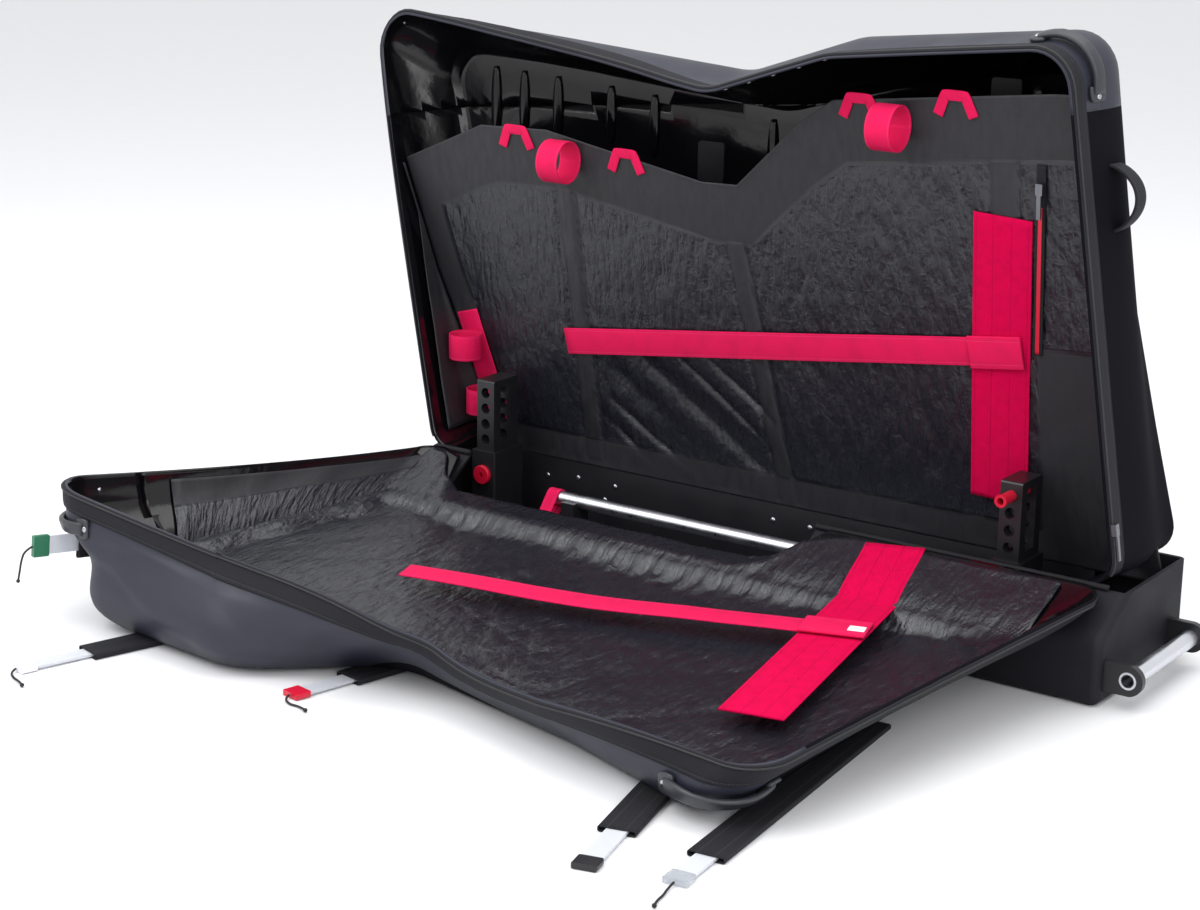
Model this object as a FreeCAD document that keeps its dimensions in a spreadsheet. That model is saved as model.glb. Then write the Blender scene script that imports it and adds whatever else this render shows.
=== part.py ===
import FreeCAD, Part
import math
import os
import re
import Sketcher

# Bike travel case, standing open: the upright half on its base, the lid laid out in front on the floor.
# X runs along the case, Y points away from the lid, Z is up. The origin is on the floor under the hinge line.

os.makedirs("parts", exist_ok=True)
Vector = FreeCAD.Vector
doc = FreeCAD.newDocument("bike_travel_case")

# Driving dimensions in millimetres, angles in degrees.
sizes = {
    "case_length": 1219, "rim_height": 707, "hinge_height": 141, "body_depth": 200, "open_angle": 93,
    "shell_wall": 4, "shell_swell": 10, "corner_radius": 55, "waist_radius": 120, "foot_radius": 40,
    "rim_gap": 1.5, "rim_band_width": 30, "rim_band_thickness": 3, "rim_band_start": 12,
    "seat_gap": 0.3, "overrun": 60,
    "lid_floor_gap": 8, "lid_edge_round": 14, "lid_neck_height": 95, "shell_seam": 0.4,
    "liner_thickness": 3, "liner_foot_depth": 150, "liner_drop": 40,
    "webbing_thickness": 2.2, "strap_width": 42, "panel_width": 88,
    "piping_radius": 4, "piping_length": 1130, "hinge_lap": 1,
    "apron_left": 500, "apron_right": 120, "apron_height": 90, "apron_depth": 125,
    "tub_left": 583, "tub_right": 592, "tub_front": 75, "tub_shoulder": 46, "tub_wall": 6,
    "tub_shoulder_radius": 24, "tub_edge_radius": 12,
    "board_left": 520, "board_right": 480, "board_height": 102, "board_thickness": 6,
    "stand_depth": 76, "left_stand": 505, "right_stand": 396, "socket_height": 127, "socket_wall": 6,
    "mast_width": 33, "mast_depth": 62, "mast_height": 203, "mast_lift": 37, "running_gap": 0.3,
    "mast_hole": 16.4, "hole_pitch": 25, "hole_drop": 20, "mast_window_width": 28, "mast_window_end": 12,
    "mast_top_radius": 3.6,
    "knob_height": 96, "knob_flange": 30, "knob_flange_thickness": 6, "knob_edge_radius": 1.5,
    "knob_hole": 8, "knob_hole_depth": 9, "knob_shank": 10, "knob_bore": 10.16,
    "axle_tube": 16, "axle_tube_bore": 10, "axle_tube_flare": 18, "axle_tube_flare_length": 4,
    "axle_tube_front": 12, "axle_tube_length": 100,
    "rail_diameter": 22, "rail_wall": 2, "rail_left": 400, "rail_right": 330, "rail_height": 72,
    "rail_depth": 75,
    "foot_width": 24, "foot_depth": 40, "foot_inset": 46,
    "tie_width": 22, "tie_anchor_depth": 20, "tie_anchor_radius": 5,
    "bar_diameter": 24, "bar_wall": 3, "bar_height": 42, "bar_reach": 34, "bar_front": 60, "bar_back": 158,
    "ear_thickness": 10, "ear_radius": 21,
    "wheel_diameter": 90, "wheel_width": 32, "wheel_bore": 10.16, "wheel_axle": 10, "wheel_rim": 58,
    "wheel_hub": 30,
    "wheel_rim_depth": 6, "front_wheel_place": 20, "rear_wheel_inset": 50, "wheel_reach": 48,
    "tyre_radius": 8,
    "carrier_height": 104, "carrier_wall": 14, "carrier_gap": 4, "axle_end": 4,
    "tab_height": 36, "tab_foot": 68, "tab_top": 40, "loop_diameter": 64, "loop_width": 38,
    "cup_diameter": 52, "cup_height": 40,
    "zip_width": 14, "zip_thickness": 1.6, "slider_width": 10, "slider_length": 16, "slider_thickness": 7,
    "slider_drop": 32, "slider_clearance": 0.9, "zip_waist": 3.6, "puller_thickness": 2.4,
    "puller_length": 34, "puller_width": 6, "main_slider_lift": 80,
    "plate_width": 46, "plate_height": 60, "plate_thickness": 3, "plate_corner": 5,
    "handle_radius": 46, "handle_strap": 5, "handle_width": 30, "right_handle_depth": 70,
    "left_handle_depth": 124,
    "grip_thickness": 13, "grip_width": 30, "grip_length": 80, "right_grip_clearance": 9.25,
    "right_grip_drop": 112,
    "left_grip_clearance": 2.26, "left_grip_drop": 96, "lid_grip_reach": 128, "lid_grip_span": 152,
    "right_lid_grip_height": 16, "left_lid_grip_clearance": 12.25,
    "sleeve_width": 48, "sleeve_wall": 2, "batten_width": 26, "batten_thickness": 3.4, "batten_gap": 0.3,
    "cap_length": 24, "cap_width": 32, "cap_height": 7.6, "cap_round": 2.5,
    "left_sleeve": 500, "middle_sleeve": 370, "right_sleeve": 520, "end_sleeve": 470, "side_sleeve": 170,
    "left_out": 80, "middle_out": 70, "right_out": 80, "end_out": 52, "side_out": 46, "batten_stop": 12,
    "left_lean": -16.7, "middle_lean": -12.4, "right_lean": 14, "end_lean": 5.6,
    "side_drop": 25, "side_inset": 47, "side_standoff": -6, "side_rise": 5,
    "cord_diameter": 3, "knot_diameter": 6,
}
sheet = doc.addObject("Spreadsheet::Sheet", "Sizes")
for row, (name, value) in enumerate(sizes.items(), 1):
    sheet.set(f"A{row}", name)
    sheet.set(f"B{row}", str(value))
    sheet.setAlias(f"B{row}", name)
doc.recompute()


def size(name):
    return float(sheet.get(name))


length = size("case_length")
height = size("rim_height")
hinge = size("hinge_height")
depth = size("body_depth")
wall = size("shell_wall")
overrun = size("overrun")
seat = size("seat_gap")
floor_gap = size("lid_floor_gap")
opening = math.radians(size("open_angle"))
hinge_point = Vector(0, 0, hinge)
nodes = {}

# Corners of the zip line, seen from the front with the case shut: along the case and up from the hinge line.
corner_radii = [size("foot_radius"), size("corner_radius"), size("waist_radius"), size("waist_radius"),
                size("waist_radius"), size("corner_radius"), size("foot_radius")]
rim_shares = [(-0.472, 0), (-0.616, 0.915), (-0.36, 0.893), (-0.052, 0.857), (0.097, 0.946),
              (0.384, 1), (0.472, 0)]
back_shares = [(-0.459, 0), (-0.566, 0.848), (-0.34, 0.83), (-0.052, 0.79), (0.09, 0.861),
               (0.332, 0.932), (0.48, 0)]
lid_neck_shares = [(-0.468, 0.15), (-0.582, 0.912), (-0.345, 0.935), (-0.08, 0.842), (0.097, 0.94),
                   (0.38, 0.992), (0.43, 0.15)]
lid_floor_shares = [(-0.43, 0.24), (-0.574, 0.905), (-0.312, 0.955), (-0.176, 0.75), (0.094, 0.86),
                    (0.332, 1.005), (0.336, 0.24)]
# The zip line leaves the flat: its setback at full height, as places along the case and shares of the depth.
setback_shares = [(-0.8, 0.68), (-0.616, 0.53), (-0.36, 0.25), (-0.162, 0.035), (-0.04, -0.198),
                  (0.097, -0.138), (0.384, -0.08), (0.7, -0.03)]
# The body's liner leans from the back board up to the rim, and the lid's liner dips towards its free edge.
liner_top_shares = [(-0.8, 0.25), (0.7, 0)]
lid_liner_top_shares = [(-0.8, -0.1), (-0.36, -0.16), (-0.162, -0.22), (-0.04, -0.31), (0.097, -0.28),
                        (0.384, -0.24), (0.7, -0.22)]
# The hard shell ends and the padded panel starts along this slanting line.
shell_seam_shares = [(-0.8, 0.66), (0.7, 0.93)]


def points_of(shares):
    return [Vector(x * length, up * height, 0) for x, up in shares]


def inset(points, distance):
    """Moves every side of a clockwise outline inwards by one distance."""
    moved = []
    for index, point in enumerate(points):
        before = (point - points[index - 1]).normalize()
        after = (points[(index + 1) % len(points)] - point).normalize()
        inward_before = Vector(before.y, -before.x, 0)
        inward_after = Vector(after.y, -after.x, 0)
        bisector = (inward_before + inward_after).normalize()
        moved.append(point + bisector * (distance / bisector.dot(inward_before)))
    return moved


def rounded_wire(points, radii, lift):
    """Closed outline of straight runs joined by tangent arcs, lifted into space."""
    starts = []
    arcs = []
    for index, point in enumerate(points):
        before = (point - points[index - 1]).normalize()
        after = (points[(index + 1) % len(points)] - point).normalize()
        half_turn = before.getAngle(after) / 2
        tangent = radii[index] * math.tan(half_turn)
        towards = (after - before).normalize()
        middle = point + towards * (radii[index] / math.cos(half_turn) - radii[index])
        starts.append(point - before * tangent)
        arcs.append((point - before * tangent, middle, point + after * tangent))
    edges = []
    for index, (start, middle, end) in enumerate(arcs):
        edges.append(Part.Arc(lift(start), lift(middle), lift(end)).toShape())
        edges.append(Part.LineSegment(lift(end), lift(starts[(index + 1) % len(arcs)])).toShape())
    return Part.Wire(edges)


def mix(first, second, share):
    return [a * (1 - share) + b * share for a, b in zip(first, second)]


def upright(y):
    return lambda p: Vector(p.x, y, hinge + p.y)


def flat(z):
    return lambda p: Vector(p.x, -p.y, z)


def opened(closed):
    """Turns a point of the shut case to where the open lid carries it."""
    up = closed.z - hinge
    return Vector(closed.x, closed.y * math.cos(opening) - up * math.sin(opening),
                  hinge + closed.y * math.sin(opening) + up * math.cos(opening))


def setback(x_share):
    for (x_one, one), (x_two, two) in zip(setback_shares, setback_shares[1:]):
        if x_one <= x_share <= x_two:
            return (one + (two - one) * (x_share - x_one) / (x_two - x_one)) * depth
    return 0


rim = points_of(rim_shares)
back = points_of(back_shares)
lid_rim = []
for (x_share, up_share), radius in zip(rim_shares, corner_radii):
    carried = opened(Vector(x_share * length, setback(x_share) * up_share, hinge + up_share * height))
    lid_rim.append(Vector(carried.x, max(-carried.y, size("piping_radius") + seat - size("hinge_lap")), 0))
lid_neck = points_of(lid_neck_shares)
lid_floor = points_of(lid_floor_shares)
body_level_shares = [-0.45, 0.12, 0.5, 0.8, 1]
taper_share = 0.55


def radii_for(inward):
    """Corner radii that follow a parallel outline: less inside a bulge, more inside a hollow."""
    turns = [1, 1, 1, -1, 1, 1, 1]
    return [radius - turn * inward for radius, turn in zip(corner_radii, turns)]


def body_hull(inward, drop):
    """Solid of the upright half, moved inwards from its outer face and lowered past the tub's top."""
    outlines = [rim, rim, inset(rim, -size("shell_swell")),
                mix(rim, back, taper_share), back]
    wires = []
    for share, outline in zip(body_level_shares, outlines):
        shrunk = inset(outline, inward)
        for foot, above in ((0, 1), (-1, -2)):
            slope = shrunk[foot] - shrunk[above]
            shrunk[foot] = shrunk[foot] + slope * ((-drop - shrunk[foot].y) / slope.y)
        y = share * depth - (inward if share == 1 else 0)
        wires.append(rounded_wire(shrunk, radii_for(inward), upright(y)))
    return Part.makeLoft(wires, True, False)


def lid_hull(inward):
    """Solid of the lid, lying on its outer face, moved inwards from that face."""
    round_off = size("lid_edge_round")
    neck = size("lid_neck_height")
    levels = [(floor_gap + inward, inset(lid_floor, round_off)), (floor_gap + round_off, lid_floor),
              (neck, lid_neck), (hinge, lid_rim), (hinge + 2 * overrun, lid_rim)]
    wires = [rounded_wire(inset(outline, inward), radii_for(inward), flat(z)) for z, outline in levels]
    return Part.makeLoft(wires, True, False)


def curve(shares, shift, y_scale, z):
    points = [Vector(x * length, share * depth * y_scale + shift, z) for x, share in shares]
    spline = Part.BSplineCurve()
    spline.interpolate(points)
    return spline.toShape()


def ruled_block(shares, foot, front, rear, foot_height=None):
    """Solid between two copies of a ruled surface, from a straight foot line up to a curved top line."""
    low = hinge if foot_height is None else foot_height
    top = hinge + height
    stretch = overrun / (top - low)
    wires = []
    for z, y_scale, base in ((low - overrun, -stretch, foot * (1 + stretch)),
                             (top + overrun, 1 + stretch, -foot * stretch)):
        fore = curve(shares, base + front, y_scale, z)
        aft = curve(shares, base + rear, y_scale, z)
        ends = [edge.Vertexes[index].Point for edge in (fore, aft) for index in (0, -1)]
        right = Part.LineSegment(ends[1], ends[3]).toShape()
        left = Part.LineSegment(ends[2], ends[0]).toShape()
        wires.append(Part.Wire([fore, right, aft, left]))
    return Part.makeLoft(wires, True, True)


def swung(shape):
    """Copy of a shape of the shut case, turned to the open lid."""
    turned = shape.copy()
    turned.rotate(hinge_point, Vector(1, 0, 0), size("open_angle"))
    return turned


def prism_block(shares, lift, along):
    """Solid of a plain outline given as shares, drawn straight through the case."""
    corner_points = [lift(point) for point in points_of(shares)]
    face = Part.Face(Part.makePolygon(corner_points + corner_points[:1]))
    return face.extrude(along)


def raw(name, shape):
    item = doc.addObject("Part::Feature", name)
    item.Shape = shape
    return item


def cut(name, base, tool):
    item = doc.addObject("Part::Cut", name)
    item.Base = base
    item.Tool = tool
    return item


def common(name, base, tool):
    item = doc.addObject("Part::Common", name)
    item.Base = base
    item.Tool = tool
    return item


def compound(name, items):
    item = doc.addObject("Part::Compound", name)
    item.Links = items
    return item


def keep(label, item):
    item.Label = label
    nodes[label] = item
    return item


# The two hollow halves, parted along the zip line, and split into hard shell and padded panel.
gap = size("rim_gap") / 2
reach = depth * 2
body_outer = raw("body_outer", body_hull(0, size("piping_radius")))
body_inner = raw("body_inner", body_hull(wall, overrun))
body_walls = cut("body_walls", body_outer, body_inner)
body_front = raw("body_front", ruled_block(setback_shares, 0, -reach, gap))
body_half = cut("body_half", body_walls, body_front)
lid_outer = raw("lid_outer", lid_hull(0))
lid_inner = raw("lid_inner", lid_hull(wall))
lid_walls = cut("lid_walls", lid_outer, lid_inner)
lid_above = raw("lid_above", swung(ruled_block(setback_shares, 0, -gap, reach)))
lid_trimmed = cut("lid_trimmed", lid_walls, lid_above)
lid_side = raw("lid_side", Part.makeBox(2 * length, 2 * height, 2 * height, Vector(
    -length, -2 * height - size("piping_radius") - seat, -height)))
lid_half = common("lid_half", lid_trimmed, lid_side)

seam = size("shell_seam") / height
beyond_share = 1.5
seam_ends = [(shell_seam_shares[0][0], beyond_share), (shell_seam_shares[1][0], beyond_share)]
seam_line = shell_seam_shares[::-1]
lowered = [(x, up - seam) for x, up in seam_line]
through = Vector(0, 2 * reach, 0)
upper_shell = raw("upper_shell", prism_block(seam_ends + seam_line, upright(-reach), through))
upper_panel = raw("upper_panel", prism_block(seam_ends + lowered, upright(-reach), through))
rise = Vector(0, 0, hinge + 2 * overrun)
free_shell = raw("free_shell", prism_block(seam_ends + seam_line, flat(0), rise))
free_panel = raw("free_panel", prism_block(seam_ends + lowered, flat(0), rise))
keep("body_shell", common("body_shell", body_half, upper_shell))
keep("body_panel", cut("body_panel", body_half, upper_panel))
keep("lid_shell", common("lid_shell", lid_half, free_shell))
lid_apron = raw("lid_apron", Part.makeBox(
    size("apron_left") + size("apron_right"), size("apron_depth"), height,
    Vector(-size("apron_left"), -size("apron_depth"), size("apron_height"))))
keep("lid_panel", cut("lid_panel", cut("lid_panel_whole", lid_half, free_panel), lid_apron))

# Rim bands with the zip, wrapped round each half beside the zip line and open along the hinge.
band_thickness = size("rim_band_thickness")
band_width = size("rim_band_width")
band_start = size("rim_band_start")
above_hinge = raw("above_hinge", Part.makeBox(2 * length, 2 * reach, 2 * height,
                                              Vector(-length, -reach, hinge + band_start)))
before_hinge = raw("before_hinge", Part.makeBox(2 * length, 2 * height, 2 * height,
                                                Vector(-length, -2 * height - band_start, -height)))
body_band = cut("body_band", raw("body_band_outer", body_hull(-band_thickness - seat, overrun)),
                raw("body_band_inner", body_hull(-seat, 2 * overrun)))
body_strip = raw("body_strip", ruled_block(setback_shares, 0, gap, gap + band_width))
keep("body_rim_band", common("body_rim_band", common("body_band_strip", body_band, body_strip), above_hinge))
lid_band = cut("lid_band", raw("lid_band_outer", lid_hull(-band_thickness - seat)),
               raw("lid_band_inner", lid_hull(-seat)))
lid_strip = raw("lid_strip", swung(ruled_block(setback_shares, 0, -gap - band_width, -gap)))
keep("lid_rim_band", common("lid_rim_band", common("lid_band_strip", lid_band, lid_strip), before_hinge))


def cells(expression):
    """Expression in plain size names, written as references to the sheet."""
    return re.sub(r"[a-z_]{3,}", lambda found: "Sizes." + found.group(), expression)


def new_body(label):
    return keep(label, doc.addObject("PartDesign::Body", label))


def sketch_on(body, role, offset):
    """Sketch on one of the body's own planes: XZ looks along +Y, YZ along -X, XY down on the piece."""
    sketch = body.newObject("Sketcher::SketchObject", "Sketch")
    plane = next(item for item in body.Origin.OriginFeatures if item.Role == role)
    sketch.AttachmentSupport = [(plane, "")]
    sketch.MapMode = "FlatFace"
    sketch.setExpression("AttachmentOffset.Base.z", cells(offset))
    return sketch


def measure(expression):
    return float(sheet.evalExpression(cells(expression)))


def hold(sketch, kind, refs, expression):
    value = measure(expression)
    if value == 0 and kind != "Diameter":
        axis = -2 if kind == "DistanceX" else -1
        sketch.addConstraint(Sketcher.Constraint("PointOnObject", refs[2], refs[3], axis))
        return
    index = sketch.addConstraint(Sketcher.Constraint(kind, *refs, value))
    sketch.setExpression(f"Constraints[{index}]", cells(expression))


def polygon(body, role, offset, points):
    """Closed outline whose corners are held by the sheet."""
    sketch = sketch_on(body, role, offset)
    spots = [Vector(measure(across), measure(up), 0) for across, up in points]
    count = len(spots)
    for index in range(count):
        sketch.addGeometry(Part.LineSegment(spots[index], spots[(index + 1) % count]), False)
    for index in range(count):
        sketch.addConstraint(Sketcher.Constraint("Coincident", index, 2, (index + 1) % count, 1))
    for index, (across, up) in enumerate(points):
        hold(sketch, "DistanceX", (-1, 1, index, 1), across)
        hold(sketch, "DistanceY", (-1, 1, index, 1), up)
    return sketch


def circles(body, role, offset, centre, diameters):
    sketch = sketch_on(body, role, offset)
    spot = Vector(measure(centre[0]), measure(centre[1]), 0)
    for index, diameter in enumerate(diameters):
        sketch.addGeometry(Part.Circle(spot, Vector(0, 0, 1), measure(diameter) / 2), False)
        hold(sketch, "DistanceX", (-1, 1, index, 3), centre[0])
        hold(sketch, "DistanceY", (-1, 1, index, 3), centre[1])
        hold(sketch, "Diameter", (index,), diameter)
    return sketch


def raised(body, kind, sketch, distance):
    feature = body.newObject(f"PartDesign::{kind}", kind)
    feature.Profile = sketch
    feature.setExpression("Length", cells(distance))
    return feature


def pad(body, sketch, distance):
    return raised(body, "Pad", sketch, distance)


def pocket(body, sketch, distance):
    doc.recompute()
    before = body.Shape.Volume
    feature = raised(body, "Pocket", sketch, distance)
    doc.recompute()
    if body.Shape.Volume >= before:
        raise RuntimeError(f"{body.Label}: a pocket cuts nothing")
    return feature


def rounded(body, choose, radius):
    """Rounds the edges of the body's last feature that the choice picks."""
    doc.recompute()
    tip = body.Tip
    names = [f"Edge{n}" for n, edge in enumerate(tip.Shape.Edges, 1) if choose(edge)]
    fillet = body.newObject("PartDesign::Fillet", "Fillet")
    fillet.Base = (tip, names)
    fillet.setExpression("Radius", cells(radius))
    return fillet


straight_tolerance = 1e-6


def runs_along(edge, axis):
    ends = [vertex.Point for vertex in edge.Vertexes]
    if len(ends) < 2 or edge.Curve.TypeId != "Part::GeomLine":
        return False
    return abs(getattr((ends[1] - ends[0]).normalize(), axis)) > 1 - straight_tolerance


def rectangle(left, low, right, high):
    return [(left, low), (right, low), (right, high), (left, high)]


def tube(label, role, offset, centre, outer, inner, distance):
    body = new_body(label)
    pad(body, circles(body, role, offset, centre, [outer, inner]), distance)
    return body


# Base tub with a sloping front shoulder, hollow and open at the top.
tub_top = "hinge_height - piping_radius - seat_gap"
tub = new_body("base_tub")
pad(tub, polygon(tub, "YZ_Plane", "-tub_left", [
    ("body_depth", "0"), ("body_depth", tub_top), ("0", tub_top), ("-tub_front", f"{tub_top} - tub_shoulder"),
    ("-tub_front", "0")]), "tub_left + tub_right")
shoulder_height = measure(f"{tub_top} - tub_shoulder")


def tub_shoulder_edge(edge):
    return runs_along(edge, "x") and abs(edge.CenterOfMass.z - shoulder_height) < seat


def tub_foot_edge(edge):
    return runs_along(edge, "x") and edge.CenterOfMass.z < seat


def tub_end_edge(edge):
    box_of = edge.BoundBox
    return box_of.XLength < seat and not (runs_along(edge, "y") and edge.CenterOfMass.z > shoulder_height)


rounded(tub, tub_shoulder_edge, "tub_shoulder_radius")
rounded(tub, tub_foot_edge, "tub_edge_radius")
rounded(tub, tub_end_edge, "tub_edge_radius")
pocket(tub, polygon(tub, "YZ_Plane", "tub_right - tub_wall", [
    ("body_depth - tub_wall", "tub_wall"), ("body_depth - tub_wall", f"{tub_top} + overrun"),
    ("tub_wall", f"{tub_top} + overrun"), ("tub_wall", tub_top),
    ("-tub_front + tub_wall", f"{tub_top} - tub_shoulder - tub_wall"),
    ("-tub_front + tub_wall", "tub_wall")]),
    "tub_left + tub_right - 2 * tub_wall")
# The front lip dips between the stands, where only soft lining crosses the hinge.
pocket(tub, polygon(tub, "XZ_Plane", "tub_front", rectangle(
    "-apron_left", "apron_height", "apron_right", f"{tub_top} + overrun")), "tub_front + tub_wall")

# Upright board behind the rail, which carries the liner's foot.
board = new_body("back_board")
pad(board, polygon(board, "XZ_Plane", "-liner_foot_depth - board_thickness", rectangle(
    "-board_left", "tub_wall", "board_right", "tub_wall + board_height")), "board_thickness")

# Stand rail on two saddle feet.
tube("stand_rail", "YZ_Plane", "-rail_left", ("rail_depth", "rail_height"), "rail_diameter",
     "rail_diameter - 2 * rail_wall", "rail_left + rail_right")
feet = []
for side, place in (("left", "-rail_left + foot_inset"), ("right", "rail_right - foot_inset")):
    foot = doc.addObject("PartDesign::Body", f"rail_foot_{side}")
    pad(foot, polygon(foot, "YZ_Plane", f"{place} - foot_width / 2", rectangle(
        "rail_depth - foot_depth / 2", "tub_wall", "rail_depth + foot_depth / 2", "rail_height")),
        "foot_width")
    pocket(foot, circles(foot, "YZ_Plane", f"{place} + foot_width / 2", ("rail_depth", "rail_height"),
                         ["rail_diameter + 2 * seat_gap"]), "foot_width")
    feet.append(foot)
keep("rail_feet", compound("rail_feet", feet))

# Two stands: a moulded socket, a mast with a column of holes that slides up in it, and a red clamp knob.
socket_top = "tub_wall + socket_height"
mast_foot = "tub_wall + mast_lift"
mast_top = f"{mast_foot} + mast_height"
mast_front = "stand_depth - mast_depth / 2"
hole_count = 4
socket_front = f"{mast_front} - running_gap - socket_wall"
for side, place in (("left", "-left_stand"), ("right", "right_stand")):
    half_mast = "mast_width / 2"
    half_pocket = f"{half_mast} + running_gap"
    half_socket = f"{half_pocket} + socket_wall"
    socket = new_body(f"{side}_socket")
    pad(socket, polygon(socket, "XY_Plane", "tub_wall", rectangle(
        f"{place} - ({half_socket})", socket_front, f"{place} + {half_socket}",
        "stand_depth + mast_depth / 2 + running_gap + socket_wall")), "socket_height")
    rounded(socket, lambda edge: runs_along(edge, "z"), "socket_wall / 2")
    pocket(socket, polygon(socket, "XY_Plane", socket_top, rectangle(
        f"{place} - ({half_pocket})", f"{mast_front} - running_gap", f"{place} + {half_pocket}",
        "stand_depth + mast_depth / 2 + running_gap")), "socket_height - mast_lift + seat_gap")
    pocket(socket, circles(socket, "XZ_Plane", f"-({socket_front})", (place, "knob_height"), ["knob_bore"]),
           "socket_wall")

    mast = new_body(f"{side}_mast")
    pad(mast, polygon(mast, "XY_Plane", mast_foot, rectangle(
        f"{place} - {half_mast}", mast_front, f"{place} + {half_mast}", "stand_depth + mast_depth / 2")),
        "mast_height")
    doc.recompute()
    drill = circles(mast, "XZ_Plane", f"-({mast_front})", (place, f"{mast_top} - hole_drop"), ["mast_hole"])
    bore = pocket(mast, drill, "mast_depth")
    pattern = mast.newObject("PartDesign::LinearPattern", "HoleColumn")
    pattern.Originals = [bore]
    pattern.Direction = (drill, ["V_Axis"])
    pattern.Reversed = True
    pattern.setExpression("Length", cells(f"{hole_count - 1} * hole_pitch"))
    pattern.Occurrences = hole_count
    mast.Tip = pattern
    window = polygon(mast, "YZ_Plane", f"{place} + {half_mast}", rectangle(
        "stand_depth - mast_window_width / 2", f"{socket_top} + mast_window_end",
        "stand_depth + mast_window_width / 2", f"{mast_top} - mast_window_end"))
    pocket(mast, window, "mast_width")
    top = measure(mast_top)
    rounded(mast, lambda edge: runs_along(edge, "x") and abs(edge.CenterOfMass.z - top) < seat,
            "mast_top_radius")

    knob = new_body(f"{side}_clamp_knob")
    hub = (place, "knob_height")
    pad(knob, circles(knob, "XZ_Plane", f"-({socket_front}) + seat_gap", hub, ["knob_flange"]),
        "knob_flange_thickness")
    pad(knob, circles(knob, "XZ_Plane", f"-({socket_front}) - socket_wall", hub, ["knob_shank"]),
        "socket_wall + seat_gap")
    knob_face = measure(f"{socket_front} - seat_gap - knob_flange_thickness")
    rounded(knob, lambda edge: edge.BoundBox.YLength < seat and abs(edge.BoundBox.YMin - knob_face) < seat,
            "knob_edge_radius")
    pocket(knob, circles(knob, "XZ_Plane", f"-({socket_front}) + seat_gap + knob_flange_thickness", hub,
                         ["knob_hole"]), "knob_hole_depth")

# Red axle tube through the right mast's top hole, flared at its front end.
tube_height = f"{mast_top} - hole_drop"
axle = tube("axle_tube", "XZ_Plane", "-axle_tube_front - axle_tube_length", ("right_stand", tube_height),
            "axle_tube", "axle_tube_bore", "axle_tube_length")
pad(axle, circles(axle, "XZ_Plane", "-axle_tube_front - axle_tube_flare_length", ("right_stand", tube_height),
                  ["axle_tube_flare", "axle_tube_bore"]), "axle_tube_flare_length")


def belt(big, big_radius, small, small_radius):
    """Closed line round two circles in the YZ plane: two arcs joined by their outer tangents."""
    apart = small - big
    lean = math.acos((big_radius - small_radius) / apart.Length)
    towards = math.atan2(apart.z, apart.y)

    def at(centre, radius, angle):
        return centre + Vector(0, math.cos(angle), math.sin(angle)) * radius

    spots = [at(big, big_radius, towards + lean), at(big, big_radius, towards + math.pi),
             at(big, big_radius, towards - lean), at(small, small_radius, towards - lean),
             at(small, small_radius, towards), at(small, small_radius, towards + lean)]
    return Part.Wire([Part.Arc(*spots[:3]).toShape(), Part.LineSegment(spots[2], spots[3]).toShape(),
                      Part.Arc(*spots[3:]).toShape(), Part.LineSegment(spots[5], spots[0]).toShape()])


# Red tie straps looped round the rail's ends and sewn down to the tub's floor.
webbing = size("webbing_thickness")
for side, start in (("left", -size("rail_left")), ("right", size("rail_right") - size("tie_width"))):
    rail_centre = Vector(start, size("rail_depth"), size("rail_height"))
    anchor_radius = size("tie_anchor_radius")
    anchor = Vector(start, size("tie_anchor_depth"), size("tub_wall") + seat + webbing + anchor_radius)
    inside = size("rail_diameter") / 2 + seat
    band_face = Part.Face(belt(rail_centre, inside + webbing, anchor, anchor_radius + webbing)).cut(
        Part.Face(belt(rail_centre, inside, anchor, anchor_radius)))
    keep(f"{side}_tie_strap", raw(f"{side}_tie_strap", band_face.extrude(Vector(size("tie_width"), 0, 0))))

# Grab bar: a tube between two ears on the tub's right end.
bar_place = "tub_right + bar_reach"
tube("grab_bar", "XZ_Plane", "-bar_back", (bar_place, "bar_height"), "bar_diameter",
     "bar_diameter - 2 * bar_wall", "bar_front + bar_back")
ears = []
for side, start in (("front", "bar_front - ear_thickness"), ("rear", "-bar_back")):
    ear = doc.addObject("PartDesign::Body", f"bar_ear_{side}")
    ears.append(ear)
    pad(ear, polygon(ear, "XZ_Plane", start, rectangle(
        "tub_right", "bar_height - ear_radius", bar_place, "bar_height + ear_radius")), "ear_thickness")
    pad(ear, circles(ear, "XZ_Plane", start, (bar_place, "bar_height"), ["2 * ear_radius"]), "ear_thickness")
    pocket(ear, circles(ear, "XZ_Plane", f"{start} + ear_thickness", (bar_place, "bar_height"),
                        ["bar_diameter + 2 * seat_gap"]), "ear_thickness")
keep("bar_ears", compound("bar_ears", ears))

# Wheels on one axle in a carrier at the tub's left end.
wheel_place = "-tub_left - wheel_reach"
wheel_height = "wheel_diameter / 2"
wheel_track = "(body_depth - rear_wheel_inset - front_wheel_place)"
wheel_middle = "((body_depth - rear_wheel_inset + front_wheel_place) / 2)"
carrier_half = f"{wheel_track} / 2 + wheel_width / 2 + carrier_gap + carrier_wall"
carrier = new_body("wheel_carrier")
pad(carrier, polygon(carrier, "XZ_Plane", f"-{wheel_middle} - ({carrier_half})", [
    ("-tub_left", "carrier_wall"), ("-tub_left", "carrier_height"), (wheel_place, "carrier_height"),
    (f"{wheel_place} - carrier_wall", f"{wheel_height} + carrier_wall"),
    (f"{wheel_place} - carrier_wall", f"{wheel_height} - carrier_wall")]), f"2 * ({carrier_half})")
pocket(carrier, circles(carrier, "XZ_Plane", f"-{wheel_middle} + {carrier_half}", (wheel_place, wheel_height),
                        ["wheel_axle"]), f"2 * ({carrier_half})")
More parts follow.
